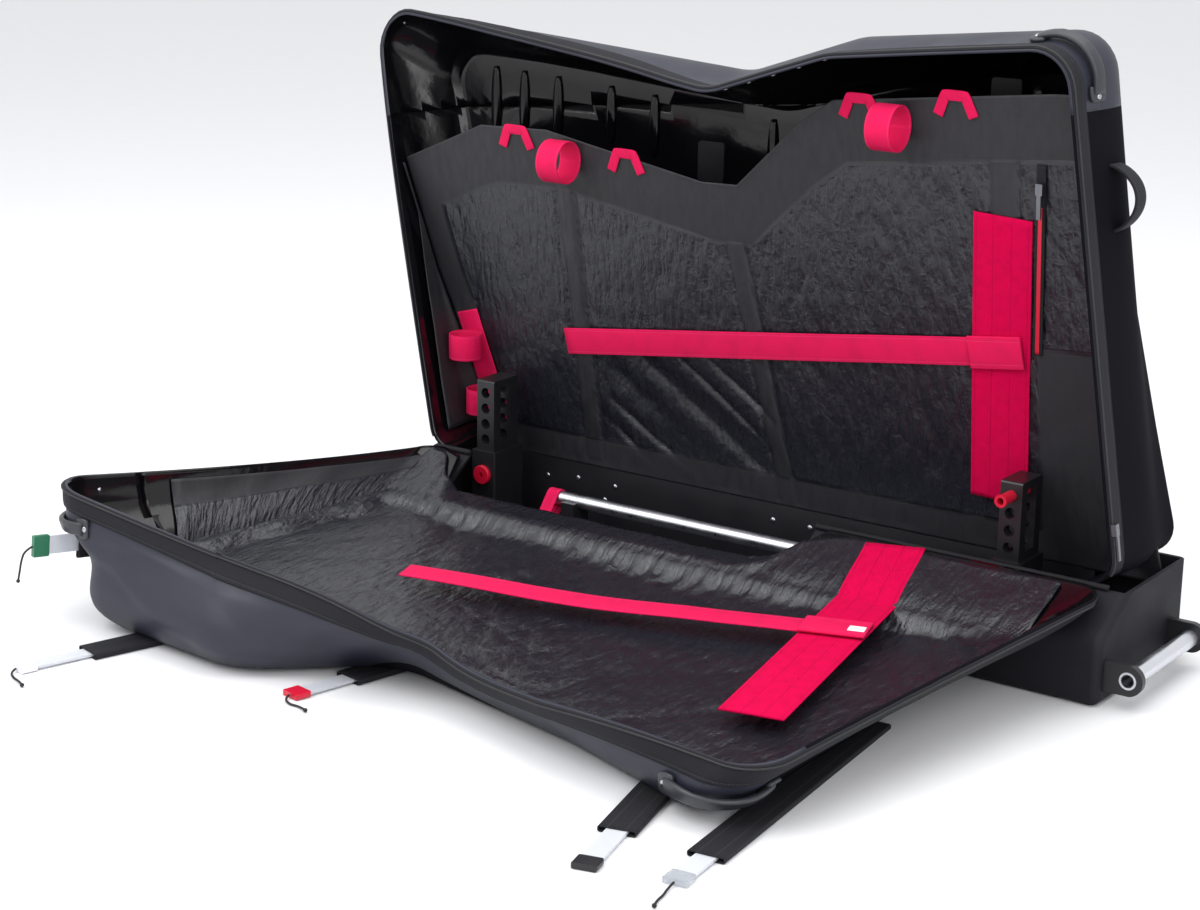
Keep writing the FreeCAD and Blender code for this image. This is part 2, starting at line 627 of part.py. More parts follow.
for side, middle in (("front", "front_wheel_place"), ("rear", "body_depth - rear_wheel_inset")):
    half_well = "wheel_width / 2 + carrier_gap"
    pocket(carrier, circles(carrier, "XZ_Plane", f"-({middle}) + {half_well}", (wheel_place, wheel_height),
                            ["wheel_diameter + 2 * carrier_gap"]), f"2 * ({half_well})")
    wheel = new_body(f"{side}_wheel")
    near = f"-({middle}) + wheel_width / 2"
    pad(wheel, circles(wheel, "XZ_Plane", f"-({middle}) - wheel_width / 2", (wheel_place, wheel_height),
                       ["wheel_diameter"]), "wheel_width")
    rounded(wheel, lambda edge: True, "tyre_radius")
    pocket(wheel, circles(wheel, "XZ_Plane", near, (wheel_place, wheel_height),
                          ["wheel_rim", "wheel_hub"]), "wheel_rim_depth")
    pocket(wheel, circles(wheel, "XZ_Plane", near, (wheel_place, wheel_height), ["wheel_bore"]),
           "wheel_width")
axle_length = f"2 * ({carrier_half}) + 2 * axle_end"
rod = new_body("wheel_axle")
pad(rod, circles(rod, "XZ_Plane", f"-{wheel_middle} - ({carrier_half}) - axle_end",
                 (wheel_place, wheel_height), ["wheel_axle"]), axle_length)

# Piped fabric hinge along both ends of the tub's front lip.
piping_runs = []
for side, start, end in (("left", "-piping_length / 2", "-apron_left"),
                         ("right", "apron_right", "piping_length / 2")):
    piping_run = doc.addObject("PartDesign::Body", f"piping_{side}")
    pad(piping_run, circles(piping_run, "YZ_Plane", start, ("0", "hinge_height"), ["2 * piping_radius"]),
        f"{end} - ({start})")
    piping_runs.append(piping_run)
keep("hinge_piping", compound("hinge_piping", piping_runs))

# Liners: thin sheets that fill the inside of each half, with what is sewn to them.
liner = size("liner_thickness")
board_top = measure("tub_wall + board_height")
liner_foot = size("liner_foot_depth")
liner_edge_shares = [(-0.7, 0.55), (-0.578, 0.6), (-0.439, 0.704), (-0.336, 0.711), (-0.109, 0.643),
                     (-0.059, 0.646), (0.029, 0.786), (0.078, 0.844), (0.352, 0.9), (0.7, 0.93)]
liner_low = (board_top + seat - hinge) / height
body_inside = raw("body_inside", body_hull(wall + seat, overrun))
lid_inside = raw("lid_inside", lid_hull(wall + seat))


def body_sheet(front, rear):
    return ruled_block(liner_top_shares, liner_foot, front, rear, board_top)


def lid_sheet(low, high):
    return swung(ruled_block(lid_liner_top_shares, -size("liner_drop"), low, high))


liner_window = raw("liner_window", prism_block(
    liner_edge_shares + [(0.7, liner_low), (-0.7, liner_low)], upright(-reach), through))
body_sheet_cut = common("body_sheet_cut", body_inside, raw("body_sheet", body_sheet(0, liner)))
keep("body_liner", common("body_liner", body_sheet_cut, liner_window))
lid_sheet_solid = raw("lid_sheet", lid_sheet(-liner, 0))
keep("lid_liner", common("lid_liner", lid_inside, lid_sheet_solid))


def strip(start, end, width, lift, along):
    """Straight band of one width between two places given as shares, drawn through the case."""
    first, last = points_of([start, end])
    side = (last - first).normalize().cross(Vector(0, 0, 1)) * (width / 2)
    spots = [lift(spot) for spot in (first - side, first + side, last + side, last - side)]
    return Part.Face(Part.makePolygon(spots + spots[:1])).extrude(along)


def sewn(label, outline, sheet_solid):
    return keep(label, common(label, raw(f"{label}_outline", outline), raw(f"{label}_sheet", sheet_solid)))


layer = seat + webbing
panel_end_shares = [(0.2755, 0.066), (0.29, 0.656)]
strap_end_shares = [(-0.329, 0.243), (0.306, 0.388)]
lid_panel_end_shares = [(0.209, 0.02), (0.272, 0.727)]
lid_strap_end_shares = [(-0.261, 0.541), (0.262, 0.318)]
front_face = upright(-reach)
sewn("body_hook_panel", strip(*panel_end_shares, size("panel_width"), front_face, through),
     body_sheet(-layer, -seat))
sewn("body_frame_strap", strip(*strap_end_shares, size("strap_width"), front_face, through),
     body_sheet(-2 * layer, -layer - seat))
lid_hook_sheet = common("lid_hook_sheet", raw("lid_hook_layer", lid_sheet(seat, layer)), lid_inside)
lid_hook_outline = raw("lid_hook_outline", strip(*lid_panel_end_shares, size("panel_width"), flat(0), rise))
keep("lid_hook_panel", common("lid_hook_panel", lid_hook_sheet, lid_hook_outline))
sewn("lid_frame_strap", strip(*lid_strap_end_shares, size("strap_width"), flat(0), rise),
     lid_sheet(layer + seat, 2 * layer))

# Four red anchor tabs along the liner's top edge.
tab_place_shares = [(-0.383, 0.69), (-0.217, 0.668), (0.114, 0.84), (0.2355, 0.865)]
tabs = []
for index, place in enumerate(points_of(tab_place_shares)):
    low = -size("tab_height") / 2
    high = size("tab_height") / 2
    wide = size("tab_foot") / 2
    narrow = size("tab_top") / 2
    spots = [front_face(place + Vector(x, up, 0)) for x, up in
             ((-wide, low), (wide, low), (narrow, high), (-narrow, high))]
    tab = raw(f"tab_outline_{index}", Part.Face(Part.makePolygon(spots + spots[:1])).extrude(through))
    tabs.append(common(f"tab_{index}", tab, raw(f"tab_sheet_{index}", body_sheet(-layer, -seat))))
keep("anchor_tabs", compound("anchor_tabs", tabs))


def liner_point(x_share, up_share):
    """Point on the front face of the body's liner."""
    (x_low, low), (x_high, high) = liner_top_shares
    top_y = (low + (high - low) * (x_share - x_low) / (x_high - x_low)) * depth
    z = hinge + up_share * height
    y = liner_foot + (top_y - liner_foot) * (z - board_top) / (hinge + height - board_top)
    return Vector(x_share * length, y, z)


def ring(outer_radius, thickness, width, centre, axis):
    base = centre - axis * (width / 2)
    return Part.makeCylinder(outer_radius, width, base, axis).cut(
        Part.makeCylinder(outer_radius - thickness, width, base, axis))


# Two red loops that hang at the liner's top edge.
loop_radius = size("loop_diameter") / 2
liner_lean = math.hypot(1, (liner_foot - liner_point(0, 1).y) / (hinge + height - board_top))
loops = []
for index, (x_share, up_share) in enumerate([(-0.3, 0.655), (0.164, 0.81)]):
    centre = liner_point(x_share, up_share) - Vector(0, (loop_radius + 2 * seat) * liner_lean, 0)
    loops.append(raw(f"loop_{index}", ring(loop_radius, webbing, size("loop_width"), centre,
                                           Vector(1, 0, 0))))
keep("hanging_loops", compound("hanging_loops", loops))

# Red retaining strap at the left end, with two upright loops.
retaining_end_shares = [(-0.489, 0.2716), (-0.447, 0.0127)]
retaining_outline = raw("retaining_outline", strip(*retaining_end_shares, size("strap_width"), front_face,
                                                   through))
retaining = common("retaining_band", retaining_outline, raw("retaining_sheet", body_sheet(-layer, -seat)))
cup_radius = size("cup_diameter") / 2
cups = [retaining]
for index, share in enumerate((0.28, 0.76)):
    place = [a + (b - a) * share for a, b in zip(*retaining_end_shares)]
    upper = (place[0], place[1] + size("cup_height") / 2 / height)
    spot = liner_point(*upper) - Vector(0, cup_radius + layer + seat, size("cup_height") / 2)
    cups.append(raw(f"cup_{index}", ring(cup_radius, webbing, size("cup_height"), spot, Vector(0, 0, 1))))
keep("retaining_strap", compound("retaining_strap", cups))

# Pocket zip on the liner, and its slider.
zip_end_shares = [(0.338, 0.765), (0.328, 0.3876)]
zip_thickness = size("zip_thickness")
sewn("pocket_zip", strip(*zip_end_shares, size("zip_width"), front_face, through),
     body_sheet(-seat - zip_thickness, -seat))


def slider(name, place, along, out, puller):
    """Zip slider: a body on the zip and a flat puller along it, in a frame whose Z follows the zip."""
    half = size("slider_width") / 2
    thick = size("slider_thickness")
    long = size("slider_length")
    grip = size("puller_width") / 2
    body = Part.makeBox(2 * half, thick, long, Vector(-half, -thick, -long / 2))
    flap = Part.makeBox(2 * grip, size("puller_thickness"), puller, Vector(-grip, -thick, -long / 2 - puller))
    item = raw(name, body.fuse(flap).removeSplitter())
    across = along.cross(out).normalize()
    item.Placement = FreeCAD.Placement(FreeCAD.Matrix(
        across.x, -out.x, along.x, place.x, across.y, -out.y, along.y, place.y,
        across.z, -out.z, along.z, place.z, 0, 0, 0, 1))
    return keep(name, item)


zip_top = liner_point(*zip_end_shares[0])
zip_foot = liner_point(*zip_end_shares[1])
zip_along = (zip_top - zip_foot).normalize()
zip_out = zip_along.cross(Vector(1, 0, 0)).normalize()
if zip_out.y > 0:
    zip_out = -zip_out
zip_out = (zip_out - zip_along * zip_out.dot(zip_along)).normalize()
slider("pocket_slider", zip_top - zip_along * size("slider_drop") + zip_out * (2 * seat + zip_thickness),
       zip_along, zip_out, size("puller_length"))

# Main zip slider on the right end's straight stretch of zip.
rim_foot = Vector(rim[-1].x, 0, hinge)
rim_head = Vector(rim[-2].x, setback(rim_shares[-2][0]), hinge + height)
rim_along = (rim_head - rim_foot).normalize()
rim_out = Vector(1, 0, 0) - rim_along * rim_along.x
rim_out = rim_out.normalize()
rim_face = band_thickness + size("slider_clearance") - size("zip_waist")
rim_foot.y = gap + seat + size("slider_width") / 2
slider("zip_slider", rim_foot + rim_along * size("main_slider_lift") + rim_out * rim_face, rim_along, rim_out,
       size("puller_length"))

# Riveted plates on the inside of the shell's back wall.
plates = []
for side, (x_share, up_share) in (("right", (0.231, 0.845)), ("centre", (-0.161, 0.652))):
    plate = doc.addObject("PartDesign::Body", f"plate_{side}")
    place = points_of([(x_share, up_share)])[0]
    pad(plate, polygon(plate, "XZ_Plane", "0", rectangle(
        "-plate_width / 2", "-plate_height / 2", "plate_width / 2", "plate_height / 2")), "plate_thickness")
    rounded(plate, lambda edge: runs_along(edge, "y"), "plate_corner")
    plate.Placement = FreeCAD.Placement(Vector(place.x, depth - wall, hinge + place.y), FreeCAD.Rotation())
    plates.append(plate)
keep("shell_plates", compound("shell_plates", plates))

# Carry handles of webbing on both ends, seated on the shell.
body_seat = raw("body_seat", body_hull(-seat, overrun))
handles = []
for side, foot, head, up_share in (("right", -1, -2, 0.713), ("left", 0, 1, 0.536)):
    end_x = rim[foot].x + (rim[head].x - rim[foot].x) * up_share * height / rim[head].y
    centre = Vector(end_x, size(f"{side}_handle_depth"), hinge + up_share * height)
    hoop = raw(f"hoop_{side}", ring(size("handle_radius"), size("handle_strap"), size("handle_width"), centre,
                                    Vector(0, 1, 0)))
    handles.append(cut(f"handle_{side}", hoop, body_seat))
keep("carry_handles", compound("carry_handles", handles))

# Moulded corner handles: blocks of a thicker skin, cut out round the corners.
grip = size("grip_thickness")
grip_width = size("grip_width")
grip_length = size("grip_length")
body_grip_hull = raw("body_grip_hull", body_hull(-grip, overrun))
lid_grip_hull = raw("lid_grip_hull", lid_hull(-grip))
lid_seat = raw("lid_seat", lid_hull(-seat))
top_left = front_face(rim[1])
top_right = front_face(rim[-2])


def corner_grip(label, low, spans, thick_hull, seat_hull):
    block = raw(f"{label}_block", Part.makeBox(*spans, low))
    keep(label, cut(label, common(f"{label}_skin", thick_hull, block), seat_hull))


for side, corner, (x_share, up_share) in (("right", top_right, rim_shares[-2]),
                                          ("left", top_left, rim_shares[1])):
    grip_depth = setback(x_share) * up_share + gap + band_width + size(f"{side}_grip_clearance")
    corner_grip(f"body_grip_{side}", Vector(corner.x - grip_length, grip_depth,
                                            corner.z - size(f"{side}_grip_drop")),
                (2 * grip_length, grip_width, grip_length), body_grip_hull, body_seat)
grip_span = size("lid_grip_span")
corner_grip("lid_grip_right", Vector(lid_rim[-2].x - size("lid_grip_reach"), -lid_rim[-2].y - grip_length,
                                     size("right_lid_grip_height")),
            (2 * grip_span, grip_span, grip_width), lid_grip_hull, lid_seat)
x_share, up_share = rim_shares[1]
left_rise = opened(Vector(x_share * length, setback(x_share) * up_share, hinge + up_share * height)).z
left_low = left_rise - gap - band_width - size("left_lid_grip_clearance") - grip_width
corner_grip("lid_grip_left", Vector(lid_rim[1].x - grip_length, -lid_rim[1].y - grip_length, left_low),
            (grip_span, grip_span, grip_width), lid_grip_hull, lid_seat)

# Stiffening battens in flat sleeves under the lid, each with a moulded cap, partly drawn out.
slot_width = "batten_width + 2 * batten_gap"
slot_low = "sleeve_wall"
batten_low = "sleeve_wall + batten_gap"
batten_end_shares = {"left": (-0.487, 1.027), "middle": (-0.205, 0.83), "right": (0.258, 1.095),
                     "end": (0.356, 1.09)}
cap_colours = {"left": "white", "middle": "red", "right": "black", "end": "clear", "side": "green"}


def batten_set(name, place):
    sleeve = doc.addObject("PartDesign::Body", f"sleeve_{name}")
    pad(sleeve, polygon(sleeve, "XZ_Plane", f"-{name}_sleeve", rectangle(
        "-sleeve_width / 2", "0", "sleeve_width / 2", "lid_floor_gap")), f"{name}_sleeve")
    pocket(sleeve, polygon(sleeve, "XZ_Plane", "0", rectangle(
        f"-({slot_width}) / 2", slot_low, f"({slot_width}) / 2",
        "sleeve_wall + batten_thickness + 2 * batten_gap")), f"{name}_sleeve")
    sleeve.Placement = place
    batten = new_body(f"batten_{name}")
    pad(batten, polygon(batten, "XZ_Plane", f"-{name}_sleeve + {name}_out + batten_stop", rectangle(
        "-batten_width / 2", batten_low, "batten_width / 2", f"{batten_low} + batten_thickness")),
        f"{name}_sleeve - batten_stop")
    batten.Placement = place
    cap = new_body(f"cap_{cap_colours[name]}")
    pad(cap, polygon(cap, "XZ_Plane", f"{name}_out + seat_gap", rectangle(
        "-cap_width / 2", "seat_gap", "cap_width / 2", "seat_gap + cap_height")), "cap_length")
    rounded(cap, lambda edge: runs_along(edge, "y") or runs_along(edge, "z"), "cap_round")
    cap.Placement = place
    return sleeve


sleeves = []
for name, (x_share, out_share) in batten_end_shares.items():
    place = FreeCAD.Placement(Vector(x_share * length, -out_share * height, 0),
                              FreeCAD.Rotation(Vector(0, 0, 1), size(f"{name}_lean")))
    sleeves.append(batten_set(name, place))

# The fifth set stands on edge along the lid's left end, just under the rim band, and rises towards its tip.
side_run = Vector(lid_rim[1].x - lid_rim[0].x, lid_rim[0].y - lid_rim[1].y, 0)
side_out = Vector(side_run.y, -side_run.x, 0).normalize()
side_spot = Vector(lid_rim[1].x, -lid_rim[1].y, left_low - size("side_drop"))
side_spot = side_spot - side_run.normalize() * size("side_inset") + side_out * size("side_standoff")
side_turn = FreeCAD.Rotation(-side_out.cross(-side_run), -side_run, -side_out, "ZYX")
rising = FreeCAD.Rotation(Vector(0, 0, 1), -size("side_rise"))
sleeves.append(batten_set("side", FreeCAD.Placement(side_spot, side_turn * rising)))
keep("batten_sleeves", compound("batten_sleeves", sleeves))

# Pull cords, each a limp cord that leaves the end of a cap and is tied off in a knot.
bend_share = 0.45
cord_routes = {
    "white": [(-624, -827.1, 4.1), (-622, -838, 2.8), (-606, -848, 1.8), (-590, -852, 1.9),
              (-574, -862, 3.2)],
    "red": [(-270.5, -680.1, 4.1), (-268, -691, 2.8), (-252, -699, 1.8), (-236, -697, 1.9),
            (-220, -705, 3.2)],
    "clear": [(441.5, -847.4, 4.1), (443, -862, 2.6), (447.5, -877, 1.8), (449, -892, 1.9),
              (455, -906, 3.2)],
    "green": [(-747.4, -676.6, 112.2), (-751, -688.5, 108), (-753, -693.5, 93), (-756, -694, 79),
              (-757, -697, 65)],
}


def corded(label, route):
    """One limp cord of straight runs joined by tangent arcs, with its knot."""
    points = [Vector(*point) for point in route]
    radius = size("cord_diameter") / 2
    edges = []
    start = points[0]
    radii = []
    for before, point, after in zip(points, points[1:], points[2:]):
        coming = point - before
        going = after - point
        tangent = bend_share * min(coming.Length, going.Length)
        half_turn = coming.getAngle(going) / 2
        bend = tangent / math.tan(half_turn)
        radii.append(round(bend, 1))
        coming.normalize()
        going.normalize()
        middle = point + (going - coming).normalize() * (bend / math.cos(half_turn) - bend)
        edges.append(Part.LineSegment(start, point - coming * tangent).toShape())
        edges.append(Part.Arc(point - coming * tangent, middle, point + going * tangent).toShape())
        start = point + going * tangent
    edges.append(Part.LineSegment(start, points[-1]).toShape())
    path = Part.Wire(edges)
    ring_wire = Part.Wire(Part.makeCircle(radius, points[0], points[1] - points[0]))
    tube_solid = path.makePipeShell([ring_wire], True, False)
    print(label, "bends", radii, "length", round(path.Length, 1),
          "volume share", round(tube_solid.Volume / (math.pi * radius ** 2 * path.Length), 3))
    knot = Part.makeSphere(size("knot_diameter") / 2, points[-1])
    return keep(label, raw(label, tube_solid.fuse(knot).removeSplitter()))


for colour, route in cord_routes.items():
    corded(f"cord_{colour}", route)

doc.recompute()
for item in doc.Objects:
    if "Invalid" in item.State or "Error" in item.State:
        raise RuntimeError(f"{item.Label} failed: {item.State}")
for label, item in nodes.items():
    shape = item.Shape
    if shape.isNull() or not shape.isValid() or not shape.Solids:
        raise RuntimeError(f"{label} has no valid solid")
    shape.exportStep(f"parts/{label}.step")
print(len(nodes), "nodes")
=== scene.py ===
import math

import bmesh
import bpy
import numpy as np
from mathutils import Matrix, Vector


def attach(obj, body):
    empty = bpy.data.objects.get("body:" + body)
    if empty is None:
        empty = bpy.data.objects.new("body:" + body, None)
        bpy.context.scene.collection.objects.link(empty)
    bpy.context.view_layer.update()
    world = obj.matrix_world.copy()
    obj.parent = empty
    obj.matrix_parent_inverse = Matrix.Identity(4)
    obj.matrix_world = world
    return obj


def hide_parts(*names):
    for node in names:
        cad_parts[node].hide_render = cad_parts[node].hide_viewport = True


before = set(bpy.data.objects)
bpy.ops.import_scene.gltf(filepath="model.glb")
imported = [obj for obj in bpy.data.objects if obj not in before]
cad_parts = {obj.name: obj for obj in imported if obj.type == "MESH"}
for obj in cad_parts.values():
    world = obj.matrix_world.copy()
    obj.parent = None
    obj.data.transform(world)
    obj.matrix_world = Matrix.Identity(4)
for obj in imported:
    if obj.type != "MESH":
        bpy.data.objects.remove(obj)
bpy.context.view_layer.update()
scene = bpy.context.scene

# Lengths below are millimetres, as in the CAD source; meshes are written in metres.
milli = 0.001
length, height, hinge, depth = 1219.0, 707.0, 141.0, 200.0
wall, seat, halfGap = 4.0, 0.3, 0.75
opening = math.radians(93)
footDrop = 4
# lattice hash of the value noise, fold form, weld distance and steps of the round forms
hashU, hashV, hashSeed, hashScale = 127.1, 311.7, 74.7, 43758.5453
foldStretch, foldSeedStep = 2.4, 7
weldDistance = 1e-6
cornerSteps, domeSteps, bisectSteps = 4, 18, 40
arcSteps, runSteps = 9, 30


# shared shape functions
def unit(v):
    return v / np.linalg.norm(v, axis=-1, keepdims=True)


def smooth(low, high, x):
    # 3t^2 - 2t^3 between low and high
    t = np.clip((x - low) / (high - low), 0, 1)
    return t * t * (3 - 2 * t)


def noise(u, v, seed):
    # value noise from -1 to 1: hashed lattice mixed with 3f^2 - 2f^3
    i, j = np.floor(u), np.floor(v)
    fu, fv = smooth(0, 1, u - i), smooth(0, 1, v - j)

    def lattice(a, b):
        h = np.sin(a * hashU + b * hashV + seed * hashSeed) * hashScale
        return 2 * (h - np.floor(h)) - 1

    low = lattice(i, j) * (1 - fu) + lattice(i + 1, j) * fu
    high = lattice(i, j + 1) * (1 - fu) + lattice(i + 1, j + 1) * fu
    return low * (1 - fv) + high * fv


def crinkle(u, v, seed, folds):
    # sharp crossed folds: sum of size * (1 - |noise|)^3, each octave turned by its own angle
    total = np.zeros_like(u)
    for k, (scale, size, turn) in enumerate(folds):
        a = (u * math.cos(turn) + v * math.sin(turn)) / scale
        b = (v * math.cos(turn) - u * math.sin(turn)) / (scale * foldStretch)
        total = total + size * (1 - np.abs(noise(a, b, seed + foldSeedStep * k))) ** 3
    return total


def runOf(path):
    # length along a path, point by point
    return np.concatenate([[0], np.cumsum(np.linalg.norm(np.diff(path, axis=0), axis=1))])


def sampled(wanted, run, points):
    return np.stack([np.interp(wanted, run, points[:, k]) for k in range(3)], -1)


def gridFaces(rows, columns, closed):
    index = np.arange(rows * columns).reshape(rows, columns)
    if closed:
        index = np.hstack([index, index[:, :1]])
    return np.stack([index[:-1, :-1], index[:-1, 1:], index[1:, 1:], index[1:, :-1]], -1).reshape(-1, 4)


def tidied(mesh, outward):
    bm = bmesh.new()
    bm.from_mesh(mesh)
    bmesh.ops.remove_doubles(bm, verts=bm.verts[:], dist=weldDistance)
    if outward:
        bmesh.ops.recalc_face_normals(bm, faces=bm.faces[:])
    bm.to_mesh(mesh)
    bm.free()


def addPiece(name, points, faces, uv=None, outward=False, matte=None, cap=None):
    polygons = faces.tolist() + ([] if cap is None else [cap.tolist()])
    mesh = bpy.data.meshes.new(name)
    mesh.from_pydata((points.reshape(-1, 3) * milli).tolist(), [], polygons)
    if uv is not None:
        layer = mesh.uv_layers.new(name="Cloth")
        layer.data.foreach_set("uv", (uv.reshape(-1, 2)[np.concatenate(polygons)] * milli).ravel())
    if matte is not None:
        layer = mesh.attributes.new("matte", "FLOAT", "POINT")
        layer.data.foreach_set("value", matte.ravel().astype(np.float32))
    tidied(mesh, outward)
    mesh.shade_smooth()
    piece = bpy.data.objects.new(name, mesh)
    scene.collection.objects.link(piece)
    return piece


def dress(piece, body, slotName, nodeNames, *lookNames):
    for entry in lookNames:
        piece.data.materials.append(looks[entry])
    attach(piece, body)
    if nodeNames:
        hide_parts(*nodeNames)
    return piece


def thicken(piece, thickness, inner=0):
    shell = piece.modifiers.new("Thickness", "SOLIDIFY")
    shell.thickness = thickness * milli
    shell.offset = -1
    shell.use_even_offset = False
    shell.material_offset = inner
    return piece


def roundRect(width, thick, radius):
    # corner arcs of a rounded rectangle about (0, 0), as (across, outward)
    turn = np.linspace(0, math.pi / 2, cornerSteps)
    quarter = np.arange(4)[:, None] * math.pi / 2 + turn
    signs = np.array([(1, 1), (-1, 1), (-1, -1), (1, -1)], float)
    centre = signs * np.array([width / 2 - radius, thick / 2 - radius])
    arc = np.stack([np.cos(quarter), np.sin(quarter)], -1) * radius
    return (centre[:, None] + arc).reshape(-1, 2)


def ringProfile(radius, steps):
    turn = np.linspace(0, 2 * math.pi, steps, endpoint=False)
    return np.stack([np.cos(turn), np.sin(turn)], -1) * radius


def sweep(name, path, side, out, profile, closed=False, capped=True):
    # ring k = path + side * across + out * outward; the ends shrink to their middle
    side, out = [np.broadcast_to(np.asarray(v, float), path.shape)[:, None] for v in (side, out)]
    rings = path[:, None] + side * profile[None, :, :1] + out * profile[None, :, 1:]
    uv = np.stack(np.broadcast_arrays(profile[None, :, 0], runOf(path)[:, None]), -1)
    if closed:
        rings, uv = np.concatenate([rings, rings[:1]]), np.concatenate([uv, uv[-1:] + [0, 1]])
    elif capped:
        ends = [np.repeat(rings[k:k + 1].mean(1, keepdims=True), len(profile), 1) for k in (0, len(path) - 1)]
        rings, uv = np.concatenate([ends[0], rings, ends[1]]), np.concatenate([uv[:1], uv, uv[-1:]])
    return addPiece(name, rings, gridFaces(len(rings), len(profile), True), uv, capped)


def domes(name, centres, normals, radius, rise):
    # rivet heads: rise * sqrt(1 - r^2) over the radius, sunk at the rim
    r = np.array([0, 0.3, 0.6, 0.82, 0.95, 1, 1])
    up = rise * np.sqrt(np.clip(1 - r * r, 0, 1))
    up[-1] -= 1
    turn = np.linspace(0, 2 * math.pi, domeSteps, endpoint=False)
    centres = np.asarray(centres, float)
    normals = np.broadcast_to(unit(np.asarray(normals, float)), centres.shape)
    side = unit(np.cross(normals, [0.31, 0.24, 0.92]))
    other = np.cross(normals, side)
    spokes = side[:, None] * np.cos(turn)[None, :, None] + other[:, None] * np.sin(turn)[None, :, None]
    points = centres[:, None, None] + spokes[:, None] * (r * radius)[None, :, None, None]
    points = points + normals[:, None, None] * up[None, :, None, None]
    one = gridFaces(len(r), len(turn), True)
    faces = (one[None] + (np.arange(len(points)) * len(r) * len(turn))[:, None, None]).reshape(-1, 4)
    return addPiece(name, points, faces, outward=True)


def merged(name, pieces):
    bpy.context.view_layer.update()
    with bpy.context.temp_override(active_object=pieces[0], selected_editable_objects=pieces):
        bpy.ops.object.join()
    pieces[0].name = name
    return pieces[0]


# splines and the two hulls, as in the CAD source
def bend(params, values):
    # second derivatives of the natural cubic through the values
    count, steps = len(params), np.diff(params)
    matrix, right = np.eye(count), np.zeros_like(values)
    k = np.arange(1, count - 1)
    matrix[k, k - 1], matrix[k, k + 1] = steps[:-1], steps[1:]
    matrix[k, k] = 2 * (steps[:-1] + steps[1:])
    right[k] = 6 * np.diff(np.diff(values, axis=0) / steps.reshape(-1, 1, 1), axis=0)
    return np.linalg.solve(matrix, right.reshape(count, -1)).reshape(values.shape)


def cubic(params, values, wanted):
    curvature = bend(params, values)
    k = np.clip(np.searchsorted(params, wanted, side="right") - 1, 0, len(params) - 2)
    column = np.arange(values.shape[1])[None]
    step = np.diff(params)[k][..., None]
    b = (wanted - params[k])[..., None] / step
    a = 1 - b
    return (a * values[k, column] + b * values[k + 1, column]
            + ((a ** 3 - a) * curvature[k, column] + (b ** 3 - b) * curvature[k + 1, column]) * step ** 2 / 6)


def along(shares, x):
    # cubic through (place along the case, share of the depth), in millimetres
    table = np.array(shares)
    found = cubic(table[:, 0] * length, table[:, 1].reshape(-1, 1, 1) * depth, np.reshape(x, (-1, 1)))
    return found[:, 0, 0].reshape(np.shape(x))


def inset(points, distance):
    before = unit(points - np.roll(points, 1, 0))
    after = unit(np.roll(points, -1, 0) - points)
    inwardBefore = np.stack([before[:, 1], -before[:, 0]], -1)
    inwardAfter = np.stack([after[:, 1], -after[:, 0]], -1)
    bisector = unit(inwardBefore + inwardAfter)
    return points + bisector * (distance / (bisector * inwardBefore).sum(1))[:, None]


def roundedOutline(points, radii):
    # each corner is an arc about point + towards * r / cos(half turn), then a straight run
    before = unit(points - np.roll(points, 1, 0))
    after = unit(np.roll(points, -1, 0) - points)
    turn = np.arctan2(before[:, 0] * after[:, 1] - before[:, 1] * after[:, 0], (before * after).sum(1))
    tangent = (radii * np.tan(np.abs(turn) / 2))[:, None]
    centre = points + unit(after - before) * (radii / np.cos(turn / 2))[:, None]
    start, end = points - before * tangent, points + after * tangent
    angle = turn[:, None] * np.linspace(0, 1, arcSteps)
    spoke = (start - centre)[:, None]
    turned = np.stack([spoke[..., 0] * np.cos(angle) - spoke[..., 1] * np.sin(angle),
                       spoke[..., 0] * np.sin(angle) + spoke[..., 1] * np.cos(angle)], -1)
    share = np.linspace(0, 1, runSteps + 2)[1:-1, None]
    runs = end[:, None] * (1 - share) + np.roll(start, -1, 0)[:, None] * share
    return np.concatenate([centre[:, None] + turned, runs], 1).reshape(-1, 2)


cornerRadii = np.array([40, 55, 120, 120, 120, 55, 40], float)
cornerTurns = np.array([1, 1, 1, -1, 1, 1, 1], float)
rimShares = [(-0.472, 0), (-0.616, 0.915), (-0.36, 0.893), (-0.052, 0.857), (0.097, 0.946), (0.384, 1),
             (0.472, 0)]
backShares = [(-0.459, 0), (-0.566, 0.848), (-0.34, 0.83), (-0.052, 0.79), (0.09, 0.861), (0.332, 0.932),
              (0.48, 0)]
neckShares = [(-0.468, 0.15), (-0.582, 0.912), (-0.345, 0.935), (-0.08, 0.842), (0.097, 0.94), (0.38, 0.992),
              (0.43, 0.15)]
floorShares = [(-0.43, 0.24), (-0.574, 0.905), (-0.312, 0.955), (-0.176, 0.75), (0.094, 0.86), (0.332, 1.005),
               (0.336, 0.24)]
setbackShares = [(-0.8, 0.68), (-0.616, 0.53), (-0.36, 0.25), (-0.162, 0.035), (-0.04, -0.198), (0.097, -0.138),
                 (0.384, -0.08), (0.7, -0.03)]
linerEdgeShares = [(-0.7, 0.55), (-0.578, 0.6), (-0.439, 0.704), (-0.336, 0.711), (-0.109, 0.643),
                   (-0.059, 0.646), (0.029, 0.786), (0.078, 0.844), (0.352, 0.9), (0.7, 0.93)]
lidLinerShares = [(-0.8, -0.1), (-0.36, -0.16), (-0.162, -0.22), (-0.04, -0.31), (0.097, -0.28), (0.384, -0.24),
                  (0.7, -0.22)]
full = np.array([length, height])
rim, back = np.array(rimShares) * full, np.array(backShares) * full
neck, lidFloor = np.array(neckShares) * full, np.array(floorShares) * full


